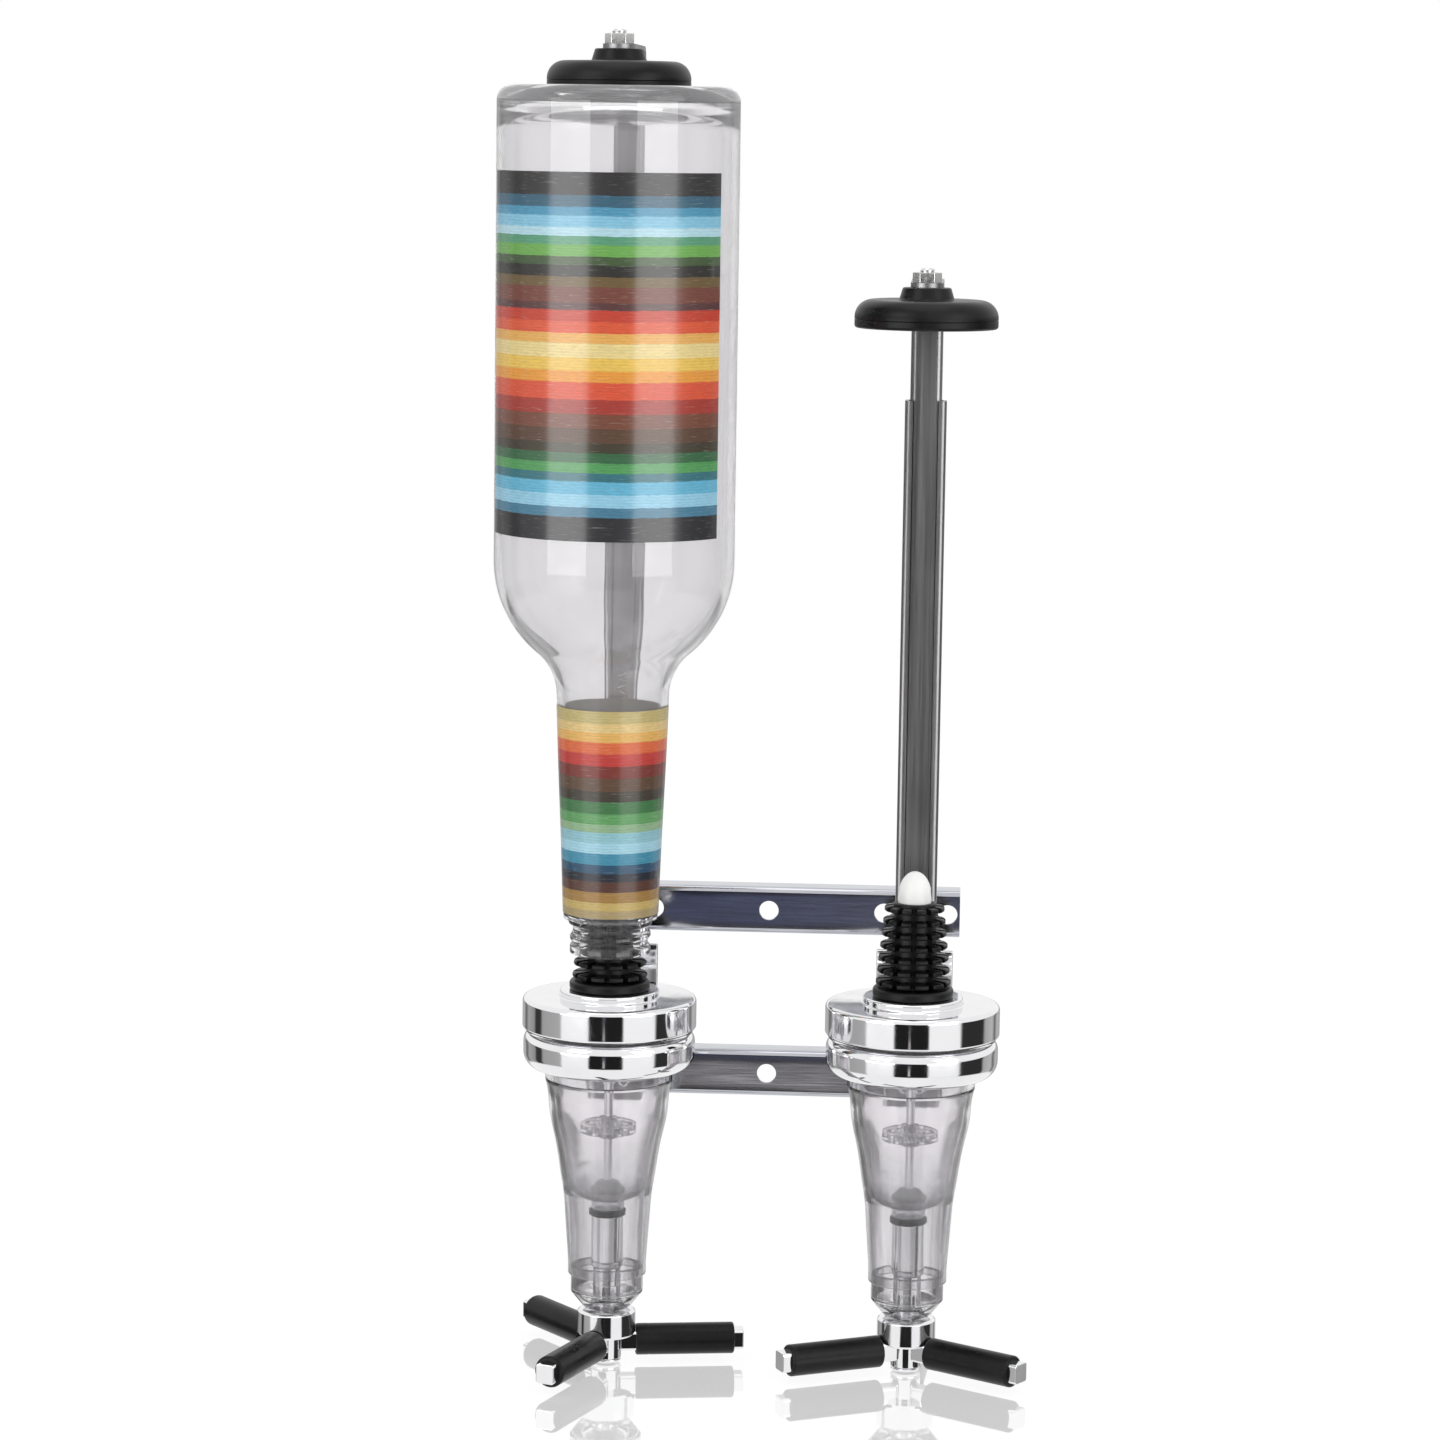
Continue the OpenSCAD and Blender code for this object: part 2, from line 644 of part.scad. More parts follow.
// A tapered rubber bung with rings of knobs, pressed in where a bottle's mouth holds it
module stopper(side) {
    reach = side == LEFT ? mouth_bore_r : knob_low_r;
    function row_z(i) = knob_first + i * knob_pitch;
    function row_r(i) =
        let (free = knob_low_r + (knob_high_r - knob_low_r) * i / (knob_rows - 1))
        row_z(i) > mouth_z - knob_root_t / 2 ? min(free, reach) : free;
    color([0.08, 0.08, 0.08]) at_station(side) {
        turned(concat(
            [[inlet_r, boss_h]], arc(foot_r - 0.7, boss_h + 0.7, 0.7, -90, 0, 3),
            arc(foot_r - 1.2, boss_h + foot_t - 1.2, 1.2, 0, 90, 4),
            [[stopper_core_r, boss_h + foot_t], [stopper_top_r, stopper_top - 0.6],
             [stopper_top_r - 0.6, stopper_top], [inlet_r, stopper_top]]));
        difference() {
            for (i = [0:knob_rows - 1]) translate([0, 0, row_z(i)]) turned([
                [stopper_top_r - 1, -knob_root_t / 2],
                [row_r(i) - 0.6, -knob_tip_t / 2], [row_r(i), -knob_tip_t / 4],
                [row_r(i), knob_tip_t / 4], [row_r(i) - 0.6, knob_tip_t / 2],
                [stopper_top_r - 1, knob_root_t / 2]]);
            for (i = [0:knob_columns - 1]) rotate([0, 0, (i + 0.5) * 360 / knob_columns])
                translate([stopper_core_r + 0.2, -knob_slot / 2, boss_h + foot_t])
                    cube([knob_low_r, knob_slot, stopper_top]);
        }
    }
}

// The tube through the stopper that the drink runs down, with a rounded tip and a cross port
module inlet_tube(side) {
    color("whitesmoke") at_station(side) difference() {
        turned(concat(
            [[inlet_bore_r, inlet_low], [inlet_flange_r, inlet_low], [inlet_flange_r, -cap_roof],
             [inlet_r, -cap_roof], [inlet_r, tip_z], [tip_r, tip_z], [tip_r, tip_z + 2]],
            [for (a = [10:10:90]) [tip_r * cos(a), tip_z + 2 + (tip_h - 2) * sin(a)]],
            [[0, tip_z + tip_h - 3], [inlet_bore_r, tip_z + tip_h - 5]]));
        translate([0, 0, tip_z + 3]) rotate([0, 90, 0])
            cylinder(r = 1.5, h = 3 * tip_r, center = true);
    }
}

module outlet_seal(side) {
    color([0.08, 0.08, 0.08]) at_station(side) turned([
        [outlet_r, tube_top], [seal_r - 0.5, tube_top], [seal_r, tube_top + 0.5],
        [seal_r, outlet_low - 0.5], [seal_r - 0.5, outlet_low], [outlet_r, outlet_low]]);
}

module outlet_tube(side) {
    color("silver") at_station(side) turned([
        [3, tube_top], [tube_r, tube_top], [tube_r, tube_low],
        [tube_bore_r, tube_low], [tube_bore_r, tube_top - tube_roof],
        [3, tube_top - tube_roof]]);
}

module return_spring(side) {
    color("gray") at_station(side) wound_spring(return_r, return_wire_r,
        stem_top + gap, tube_top - tube_roof - gap, return_curls);
}

// ---- Optic: pieces that rise to pour ----

// A rod whose three vanes sit in the spout's bore and leave room for the drink
module spindle(side) {
    color("silver") at_station(side) {
        translate([0, 0, spindle_low]) cylinder(r = spindle_r, h = spindle_top - spindle_low);
        for (a = [0:120:240]) rotate([0, 0, a]) intersection() {
            translate([spindle_r / 2, -vane_t / 2, spindle_low + 1])
                cube([spout_bore_r, vane_t, vane_len]);
            translate([0, 0, spindle_low]) cylinder(r = spout_bore_r, h = vane_len + 2);
        }
    }
}

// The upper valve, a cone that shuts the inlet as the measure opens
module inlet_valve(side) {
    color([0.08, 0.08, 0.08]) at_station(side) turned([
        [spindle_r, inlet_valve_z - 3.6], [5, inlet_valve_z - 3.6], [5, inlet_valve_z - 2.6],
        [3.2, inlet_valve_z], [spindle_r, inlet_valve_z]]);
}

module valve_disc(side) {
    color("whitesmoke") at_station(side) difference() {
        turned([[spindle_r, disc_z - 2], [3, disc_z - 2], [3, disc_z], [disc_r, disc_z],
            [disc_r, disc_z + disc_t], [3, disc_z + disc_t], [3, disc_z + disc_t + 2],
            [spindle_r, disc_z + disc_t + 2]]);
        for (i = [0:disc_holes - 1]) rotate([0, 0, i * 360 / disc_holes])
            translate([disc_r * 0.66, 0, disc_z - cut]) cylinder(r = 1.7, h = disc_t + 2 * cut);
    }
}

module outlet_valve(side) {
    low = bowl_floor + gap;
    color([0.08, 0.08, 0.08]) at_station(side) turned([
        [spindle_r, low], [5.6, low], [5.6, low + 1.4], [3.2, low + 4], [spindle_r, low + 4]]);
}

// The clear nose, a cup that slides in the lower end of the chamber
module nose(side) {
    color([0.85, 0.9, 0.95, 0.45]) at_station(side) turned([
        [nose_r - nose_wall, nose_top], [nose_r - 0.4, nose_top], [nose_r, nose_top - 0.4],
        [nose_r, nose_cone_top], [nose_low_r, nose_low], [spout_r, nose_low],
        [spout_r, nose_floor], [nose_r - nose_wall, nose_cone_top + 0.5]]);
}

// The spout: its upper end runs in the outlet tube and its lip holds the trigger hub
module spout(side) {
    color("silver") at_station(side) turned(concat(
        [[spout_bore_r, stem_top], [stem_r, stem_top], [stem_r, nose_floor + 1],
         [spout_r, nose_floor], [spout_r, stem_low - gap], [spout_end_r, stem_low - gap]],
        arc(spout_end_r - 0.8, stem_low - gap - lip_h + 0.8, 0.8, 0, -90, 4),
        [[spout_bore_r, stem_low - gap - lip_h]]));
}

// ---- Trigger: a hub that turns on the spout, with three rods and grips ----

module rod_shape(from, to) {
    translate([from, 0, rod_z]) rotate([0, 90, 0]) intersection() {
        translate([-rod_w / 2, -rod_w / 2, 0]) cube([rod_w, rod_w, to - from]);
        cylinder(r = rod_round_r, h = to - from);
    }
}

module at_rods(side) {
    turn = side == LEFT ? left_trigger_turn : right_trigger_turn;
    at_station(side) for (a = [0:120:240]) rotate([0, 0, a + turn]) children();
}

module trigger_hub(side) {
    color("silver") difference() {
        at_station(side) turned([
            [spout_r + running, hub_top], [hub_r - hub_edge, hub_top], [hub_r, hub_top - hub_edge],
            [hub_r, hub_low + hub_edge], [hub_r - hub_edge, hub_low], [spout_end_r, hub_low],
            [spout_end_r, stem_low], [spout_r + running, stem_low]]);
        at_rods(side) rod_shape(rod_in, trigger_reach);
    }
}

module trigger_rods(side) {
    color("silver") at_rods(side) rod_shape(rod_in, trigger_reach);
}

module trigger_grips(side) {
    color([0.08, 0.08, 0.08]) at_rods(side) difference() {
        translate([grip_in, 0, rod_z]) rotate([0, 90, 0]) turned(concat(
            [[0, 0]], arc(grip_r - 0.5, 0.5, 0.5, -90, 0, 3),
            arc(grip_r - 0.5, grip_len - 0.5, 0.5, 0, 90, 3), [[0, grip_len]]));
        rod_shape(grip_in - cut, grip_in + grip_len + cut);
    }
}

// ---- Bottle ----

function neck_at(z) =
    neck_low_r + (neck_r - neck_low_r) * (z - finish_top) / (neck_z - finish_top);

module bottle() {
    inner_r = bottle_r - glass_t;
    color([0.85, 0.92, 0.92, 0.35]) at_station(LEFT) turned(concat(
        // Outside, from the mouth up to the recess in the base
        [[mouth_bore_r + 0.6, mouth_z], [finish_r - 0.5, mouth_z], [finish_r, mouth_z + 0.5],
         [finish_r, mouth_z + 2.6], [finish_r - 0.9, mouth_z + 3.2],
         [finish_r - 0.9, mouth_z + 4.6], [finish_r, mouth_z + 5.2],
         [finish_r, mouth_z + 6.4], [finish_r - 0.9, mouth_z + 7],
         [finish_r - 0.9, mouth_z + 9], [finish_r + 0.5, mouth_z + 9.8],
         [finish_r + 0.5, finish_top - 0.8], [neck_low_r, finish_top]],
        arc(neck_r + fillet_r, neck_z, fillet_r, 180, 180 - meet, 8),
        arc(0, shoulder_z, bottle_r, -meet, 0, 14),
        arc(bottle_r - heel_r, base_z - heel_r, heel_r, 0, 90, 6),
        [[recess_r + recess_edge, base_z], [recess_r, base_z - recess_d], [15, base_z - recess_d],
         [11, base_z - 4.5], [5, base_z - 6], [0, base_z - 6.4]],
        // Inside, back down to the bore
        [[0, base_z - 10.5], [14, base_z - 8.5], [inner_r - 8, base_z - 5.8]],
        arc(inner_r - 6, base_z - 12, 6, 80, 0, 5),
        arc(0, shoulder_z, inner_r, 0, -meet, 14),
        arc(neck_r + fillet_r, neck_z, fillet_r + glass_t, 180 - meet, 180, 8),
        [[neck_at(finish_top + 8) - glass_t - 0.5, finish_top + 8],
         [mouth_bore_r, finish_top], [mouth_bore_r, mouth_z + 0.6]]));
}

module bottle_label() {
    label_low = shoulder_z + label_up;
    color("orangered") at_station(LEFT)
        rotate([0, 0, -90 - label_turn - label_angle / 2]) rotate_extrude(angle = label_angle)
            translate([bottle_r, label_low]) square([label_t, label_h]);
}

module neck_label() {
    low_r = neck_at(neck_label_low);
    high_r = neck_at(neck_label_high);
    color("gold") at_station(LEFT) turned([
        [low_r, neck_label_low], [low_r + label_t, neck_label_low],
        [high_r + label_t, neck_label_high], [high_r, neck_label_high]]);
}

crossbar(bar_pitch / 2);  // upper_crossbar
crossbar(-bar_pitch / 2);  // lower_crossbar
track(LEFT);  // left_track
track(RIGHT);  // right_track
track_rivets();
holder_ring(LEFT);  // left_holder_ring
holder_ring(RIGHT);  // right_holder_ring
holder_screws();
holder_nuts();
spring_pins();
slider(LEFT);  // left_slider
pad(LEFT);  // left_pad
pad_bolt(LEFT);  // left_pad_bolt
pad_nut(LEFT);  // left_pad_nut
pull_spring(LEFT);  // left_pull_spring
slider(RIGHT);  // right_slider
pad(RIGHT);  // right_pad
pad_bolt(RIGHT);  // right_pad_bolt
pad_nut(RIGHT);  // right_pad_nut
pull_spring(RIGHT);  // right_pull_spring
cap(LEFT);  // left_cap
cap_gasket(LEFT);  // left_cap_gasket
chamber(LEFT);  // left_chamber
measure_bowl(LEFT);  // left_measure_bowl
stopper(LEFT);  // left_stopper
inlet_tube(LEFT);  // left_inlet_tube
outlet_seal(LEFT);  // left_outlet_seal
outlet_tube(LEFT);  // left_outlet_tube
return_spring(LEFT);  // left_return_spring
spindle(LEFT);  // left_spindle
inlet_valve(LEFT);  // left_inlet_valve
valve_disc(LEFT);  // left_valve_disc
outlet_valve(LEFT);  // left_outlet_valve
nose(LEFT);  // left_nose
spout(LEFT);  // left_spout
trigger_hub(LEFT);  // left_trigger_hub
trigger_rods(LEFT);  // left_trigger_rods
trigger_grips(LEFT);  // left_trigger_grips
cap(RIGHT);  // right_cap
cap_gasket(RIGHT);  // right_cap_gasket
chamber(RIGHT);  // right_chamber
measure_bowl(RIGHT);  // right_measure_bowl
stopper(RIGHT);  // right_stopper
inlet_tube(RIGHT);  // right_inlet_tube
outlet_seal(RIGHT);  // right_outlet_seal
outlet_tube(RIGHT);  // right_outlet_tube
return_spring(RIGHT);  // right_return_spring
spindle(RIGHT);  // right_spindle
inlet_valve(RIGHT);  // right_inlet_valve
valve_disc(RIGHT);  // right_valve_disc
outlet_valve(RIGHT);  // right_outlet_valve
nose(RIGHT);  // right_nose
spout(RIGHT);  // right_spout
trigger_hub(RIGHT);  // right_trigger_hub
trigger_rods(RIGHT);  // right_trigger_rods
trigger_grips(RIGHT);  // right_trigger_grips
bottle();
bottle_label();
neck_label();
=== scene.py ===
"""Wall-mounted spirit optic dispenser: two measuring stations on a chromed bracket, one with its bottle."""

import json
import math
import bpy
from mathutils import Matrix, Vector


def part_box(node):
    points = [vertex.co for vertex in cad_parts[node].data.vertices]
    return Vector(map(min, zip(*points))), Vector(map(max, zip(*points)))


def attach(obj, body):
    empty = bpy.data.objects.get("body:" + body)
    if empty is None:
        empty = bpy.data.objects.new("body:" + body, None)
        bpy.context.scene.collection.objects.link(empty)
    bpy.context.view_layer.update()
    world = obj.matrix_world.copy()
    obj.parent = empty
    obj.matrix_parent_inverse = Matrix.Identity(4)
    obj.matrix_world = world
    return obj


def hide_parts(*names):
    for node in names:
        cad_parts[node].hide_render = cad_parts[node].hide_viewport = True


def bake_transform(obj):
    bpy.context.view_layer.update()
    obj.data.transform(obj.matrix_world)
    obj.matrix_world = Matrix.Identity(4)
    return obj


bl_info = {
    "name": "Spirit optic dispenser",
    "version": (1, 0, 0),
    "blender": (4, 5, 0),
    "location": "3D View > Sidebar > Optic",
    "description": "Models and finishes a two-station spirit optic dispenser round its packed frame",
    "category": "Add Mesh",
}

import bmesh
import bpy
from bpy.props import FloatProperty, FloatVectorProperty, IntProperty, PointerProperty
from mathutils import Matrix, Vector

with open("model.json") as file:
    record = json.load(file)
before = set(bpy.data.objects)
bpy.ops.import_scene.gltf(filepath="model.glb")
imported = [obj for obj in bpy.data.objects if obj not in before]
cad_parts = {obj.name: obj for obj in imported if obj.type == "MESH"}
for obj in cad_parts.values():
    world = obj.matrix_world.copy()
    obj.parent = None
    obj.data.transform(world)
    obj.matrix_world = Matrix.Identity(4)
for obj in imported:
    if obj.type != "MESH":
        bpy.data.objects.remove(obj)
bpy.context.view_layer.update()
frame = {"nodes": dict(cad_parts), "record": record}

MM = 0.001
# How near points are welded, in metres: as a rule, and where only true doubles are meant
WELD, WELD_DOUBLES = 2e-6, 1e-7
SIDES = ("left", "right")
# Each optic's upright axis where it meets the top of its cap, and how far round its trigger stands
AXIS_OUT = -49 * MM
CAP_TOP = 7.7 * MM
AXES = {"left": Vector((-48.5 * MM, AXIS_OUT, CAP_TOP)), "right": Vector((48.5 * MM, AXIS_OUT, CAP_TOP))}
TRIGGER_TURN = {"left": math.radians(9), "right": math.radians(86)}
FLOOR_Z = -0.1132


# ---- Shader maths ----


class Term:
    """A node's output in an expression: arithmetic on it adds the Math nodes it needs."""

    def __init__(self, finish, socket):
        self.finish = finish
        self.socket = socket

    def maths(self, operation, *terms):
        return self.finish.maths_of(operation, *terms)

    def __add__(self, other):
        return self.maths("ADD", self, other)

    def __sub__(self, other):
        return self.maths("SUBTRACT", self, other)

    def __rsub__(self, other):
        return self.maths("SUBTRACT", other, self)

    def __mul__(self, other):
        return self.maths("MULTIPLY", self, other)

    def __gt__(self, other):
        return self.maths("GREATER_THAN", self, other)

    def __lt__(self, other):
        return self.maths("LESS_THAN", self, other)


class Finish:
    """A material or world under construction, with one method that adds any node."""

    def __init__(self, name, kind="materials"):
        self.made = getattr(bpy.data, kind).new(name)
        self.made.use_nodes = True
        self.tree = self.made.node_tree
        self.tree.nodes.clear()

    def node(self, kind, settings=None, inputs=None, output=0):
        """Adds a node: its settings first, then the values or links of its sockets."""
        node = self.tree.nodes.new(kind)
        for name, value in (settings or {}).items():
            if name == "stops":
                ramp = node.color_ramp.elements
                for place, _ in value[len(ramp):]:
                    ramp.new(place)
                for stop, (place, _) in zip(ramp, value):
                    stop.position = place
                for stop, (_, colour) in zip(ramp, value):
                    stop.color = (*colour, 1)
            elif name == "interpolation":
                node.color_ramp.interpolation = value
            else:
                setattr(node, name, value)
        for name, value in (inputs or {}).items():
            if isinstance(value, Term):
                self.tree.links.new(value.socket, node.inputs[name])
            else:
                node.inputs[name].default_value = value
        return Term(self, node.outputs[output])

    def place(self, scale=(1, 1, 1), centre=(0, 0, 0)):
        """Object coordinates, moved so that centre is their origin and then scaled."""
        spot = self.node("ShaderNodeTexCoord", output="Object")
        moved = self.node("ShaderNodeVectorMath", {"operation": "SUBTRACT"}, {0: spot, 1: centre})
        return self.node("ShaderNodeVectorMath", {"operation": "MULTIPLY"}, {0: moved, 1: scale})

    def height(self, base=0):
        """How far above a base a point is, in metres."""
        return self.node("ShaderNodeSeparateXYZ", None, {"Vector": self.place(centre=(0, 0, base))}, "Z")

    def maths_of(self, operation, *terms):
        return self.node("ShaderNodeMath", {"operation": operation}, dict(enumerate(terms)))

    def noise(self, place, scale, detail=3.0, rough=0.5, warp=0.0):
        return self.node("ShaderNodeTexNoise", None, {
            "Vector": place, "Scale": scale, "Detail": detail, "Roughness": rough, "Distortion": warp})

    def remap(self, value, low, high, to_low, to_high):
        return self.node("ShaderNodeMapRange", None, {
            "Value": value, "From Min": low, "From Max": high, "To Min": to_low, "To Max": to_high})

    def mix(self, factor, first, second, blend="MIX"):
        node = self.tree.nodes.new("ShaderNodeMix")
        node.data_type = "RGBA"
        node.blend_type = blend
        for socket, value in ((node.inputs[0], factor), (node.inputs[6], first), (node.inputs[7], second)):
            if isinstance(value, Term):
                self.tree.links.new(value.socket, socket)
            else:
                socket.default_value = (*value, 1) if isinstance(value, (tuple, list)) else value
        return Term(self, node.outputs[2])

    def bump(self, height, strength, depth):
        return self.node("ShaderNodeBump", None, {"Height": height, "Strength": strength, "Distance": depth})

    def surface(self, **sockets):
        """Ends the material in one Principled shader; underscores in a name stand for spaces."""
        return self.end(self.principled(**sockets))

    def principled(self, **sockets):
        return self.node("ShaderNodeBsdfPrincipled", None, {
            name.replace("_", " "): value for name, value in sockets.items()})

    def laid(self, factor, under, over):
        """One shader laid over another."""
        return self.node("ShaderNodeMixShader", None, {0: factor, 1: under, 2: over})

    def background(self, colour=(1, 1, 1, 1), strength=1.0):
        return self.node("ShaderNodeBackground", None, {"Color": colour, "Strength": strength})

    def end(self, shader, output="ShaderNodeOutputMaterial"):
        out = self.tree.nodes.new(output)
        self.tree.links.new(shader.socket, out.inputs["Surface"])
        return self.made


# ---- Finishes ----


def polished_chrome():
    """Chrome plate on turned brass: mirror bright, with hairline polishing marks and dulled patches."""
    f = Finish("polished_chrome")
    spot = f.place()
    haze = f.noise(spot, 90, 4, 0.6)
    lines = f.noise(f.place((60, 60, 900)), 6, 5, 0.7)
    rough = f.remap(haze, 0.35, 0.75, 0.035, 0.11) + f.remap(lines, 0.4, 0.8, 0, 0.04)
    tint = f.mix(f.remap(haze, 0.3, 0.8, 0, 0.5), (0.86, 0.86, 0.87), (0.74, 0.74, 0.76))
    relief = f.bump(f.noise(spot, 45, 2), 0.08, 0.0004)
    return f.surface(Base_Color=tint, Metallic=1.0, Roughness=rough, Normal=relief)


def sheet_chrome():
    """Plated sheet steel of the crossbars, slightly wavy from the rolling mill."""
    f = Finish("sheet_chrome")
    grain = f.noise(f.place((4, 30, 160)), 12, 5, 0.65)
    wave = f.noise(f.place((10, 10, 25)), 2.2, 2, 0.4)
    tint = f.mix(f.remap(grain, 0.3, 0.75, 0, 1), (0.56, 0.57, 0.61), (0.42, 0.43, 0.47))
    rough = f.remap(grain, 0.3, 0.8, 0.06, 0.12)
    relief = f.bump(wave + grain * 0.02, 0.06, 0.001)
    return f.surface(Base_Color=tint, Metallic=1.0, Roughness=rough, Normal=relief)


def brushed_steel():
    """Brushed plate of the track and arm: long strokes along its length and broad duller bands."""
    f = Finish("brushed_steel")
    strokes = f.noise(f.place((900, 900, 8)), 3, 6, 0.75)
    bands = f.noise(f.place((170, 60, 2.5)), 1.6, 2, 0.5)
    tint = f.mix(f.remap(bands, 0.35, 0.68, 0, 1), (0.31, 0.305, 0.31), (0.17, 0.168, 0.172))
    tint = f.mix(f.remap(strokes, 0.35, 0.75, 0, 0.45), tint, (0.42, 0.415, 0.42))
    rough = f.remap(strokes, 0.3, 0.75, 0.26, 0.42)
    return f.surface(Base_Color=tint, Metallic=1.0, Roughness=rough, Normal=f.bump(strokes, 0.1, 0.0003))


def zinc_steel():
    """Zinc-plated fasteners and springs, spangled and a little dull."""
    f = Finish("zinc_steel")
    spangle = f.noise(f.place(), 700, 3, 0.6)
    tint = f.mix(spangle, (0.78, 0.78, 0.76), (0.6, 0.6, 0.6))
    return f.surface(Base_Color=tint, Metallic=1.0, Roughness=f.remap(spangle, 0.3, 0.7, 0.16, 0.34),
                     Normal=f.bump(spangle, 0.1, 0.0002))


def black_rubber():
    """Moulded rubber, satin black with a fine grain, greyed where it has been handled."""
    f = Finish("black_rubber")
    grain = f.noise(f.place(), 1500, 4, 0.7)
    bloom = f.noise(f.place(), 55, 4, 0.6, 0.6)
    tint = f.mix(f.remap(bloom, 0.42, 0.75, 0, 1), (0.003, 0.0028, 0.0032), (0.014, 0.013, 0.0145))
    rough = f.remap(bloom, 0.3, 0.7, 0.26, 0.4) + f.remap(grain, 0.3, 0.7, -0.03, 0.05)
    return f.surface(Base_Color=tint, Roughness=rough, Specular_IOR_Level=0.2,
                     Normal=f.bump(grain, 0.12, 0.0002))


DRIED_FILM = (0.95, 0.94, 0.955, 1)
# Heights in metres: from and to where clear plastic darkens with painted shade, from and to where it clouds,
# and where the bottle clouds
SHADE_FROM, SHADE_TO = -0.048, -0.055
CLOUD_FROM, CLOUD_TO = -0.036, -0.05
NECK_FROM, NECK_TO = 0.03, 0.045


def clear_plastic(name, haze, painted_shade_tint):
    """Clear moulded plastic with faint flow lines, rubbed and clouded, and low down darker in streaks of
    painted shade, most where it turns edge-on.
    """
    f = Finish(name)
    flow_lines = f.noise(f.place((40, 40, 12)), 4, 3, 0.5, 0.8)
    rub = f.noise(f.place(), 160, 4, 0.65)
    tint = f.mix(f.remap(flow_lines, 0.35, 0.7, 0, 1), (0.997, 0.987, 0.997), (0.975, 0.965, 0.977))
    height = f.height()
    # Painted shade: low down, in streaks and most where the surface turns edge-on, the tint darkens in place
    # of the dark surroundings seen through the thick walls
    shade_streaks = f.noise(f.place((150, 150, 4)), 1.5, 2, 0.5)
    turned_away = f.node("ShaderNodeLayerWeight", None, {"Blend": 0.5}, "Facing")
    low = f.remap(height, SHADE_FROM, SHADE_TO, 0, 1) * f.remap(shade_streaks, 0.42, 0.6, 0.3, 1.0)
    tint = f.mix(low * f.remap(turned_away, 0.12, 0.42, 0.25, 1), tint, painted_shade_tint)
    clear = f.principled(Base_Color=tint, Roughness=f.remap(rub, 0.4, 0.8, 0.02, 0.1),
                         Transmission_Weight=1.0, IOR=1.46, Normal=f.bump(flow_lines, 0.08, 0.0006))
    film = f.node("ShaderNodeBsdfDiffuse", None, {"Color": DRIED_FILM})
    cloud = f.remap(rub, 0.3, 0.75, haze * 0.7, haze * 1.5) * f.remap(height, CLOUD_FROM, CLOUD_TO, 1, 3.2)
    seen = f.laid(cloud, clear, film)
    lit = f.node("ShaderNodeBsdfTransparent", None, {"Color": (0.95, 0.95, 0.96, 1)})
    shadow = f.node("ShaderNodeLightPath", output="Is Shadow Ray") * 0.9
    return f.end(f.laid(shadow, seen, lit))


def white_plastic():
    """White moulded plastic, a little yellowed where liquor runs over it."""
    f = Finish("white_plastic")
    stain = f.noise(f.place((1, 1, 0.4)), 120, 3, 0.5)
    tint = f.mix(f.remap(stain, 0.45, 0.8, 0, 1), (0.93, 0.93, 0.92), (0.86, 0.85, 0.81))
    return f.surface(Base_Color=tint, Roughness=f.remap(stain, 0.3, 0.7, 0.28, 0.4),
                     Normal=f.bump(f.noise(f.place(), 900, 2), 0.05, 0.0002))


def bottle_glass():
    """Clear flint glass with the slow waviness of a blown bottle."""
    f = Finish("bottle_glass")
    wave = f.noise(f.place((12, 12, 5)), 3, 2, 0.4, 0.5)
    smear = f.noise(f.place((1, 1, 0.3)), 60, 4, 0.6)
    tint = f.mix(smear, (0.975, 0.965, 0.976), (0.945, 0.934, 0.948))
    glass = f.principled(Base_Color=tint, Roughness=f.remap(smear, 0.55, 0.85, 0.0, 0.07),
                         Transmission_Weight=1.0, IOR=1.45, Normal=f.bump(wave, 0.15, 0.0012))
    film = f.node("ShaderNodeBsdfDiffuse", None, {"Color": DRIED_FILM})
    cloud = f.remap(smear, 0.3, 0.8, 0.1, 0.15) * f.remap(f.height(), NECK_FROM, NECK_TO, 0.15, 1)
    return f.end(f.laid(cloud, glass, film))


# Bands of the two labels: how far down each one starts, as a share of the label, and its colour
BODY_STRIPES = (
    (0.0, (0.02, 0.018, 0.02)), (0.062, (0.03, 0.12, 0.19)), (0.09, (0.07, 0.33, 0.52)),
    (0.115, (0.25, 0.6, 0.8)), (0.145, (0.5, 0.78, 0.88)), (0.168, (0.1, 0.36, 0.2)),
    (0.195, (0.16, 0.45, 0.08)), (0.225, (0.05, 0.1, 0.03)), (0.25, (0.018, 0.016, 0.012)),
    (0.28, (0.16, 0.1, 0.03)), (0.305, (0.19, 0.05, 0.03)), (0.35, (0.1, 0.03, 0.03)),
    (0.37, (0.62, 0.05, 0.02)), (0.4, (0.8, 0.1, 0.03)), (0.43, (0.88, 0.46, 0.1)),
    (0.46, (0.9, 0.72, 0.3)), (0.5, (0.92, 0.6, 0.1)), (0.535, (0.9, 0.36, 0.04)),
    (0.565, (0.78, 0.09, 0.03)), (0.61, (0.42, 0.035, 0.02)), (0.65, (0.2, 0.06, 0.03)),
    (0.69, (0.11, 0.05, 0.025)), (0.73, (0.05, 0.04, 0.02)), (0.755, (0.03, 0.14, 0.05)),
    (0.785, (0.08, 0.36, 0.1)), (0.81, (0.03, 0.18, 0.22)), (0.835, (0.13, 0.5, 0.72)),
    (0.87, (0.32, 0.66, 0.85)), (0.905, (0.06, 0.22, 0.34)), (0.93, (0.018, 0.018, 0.022)),
)
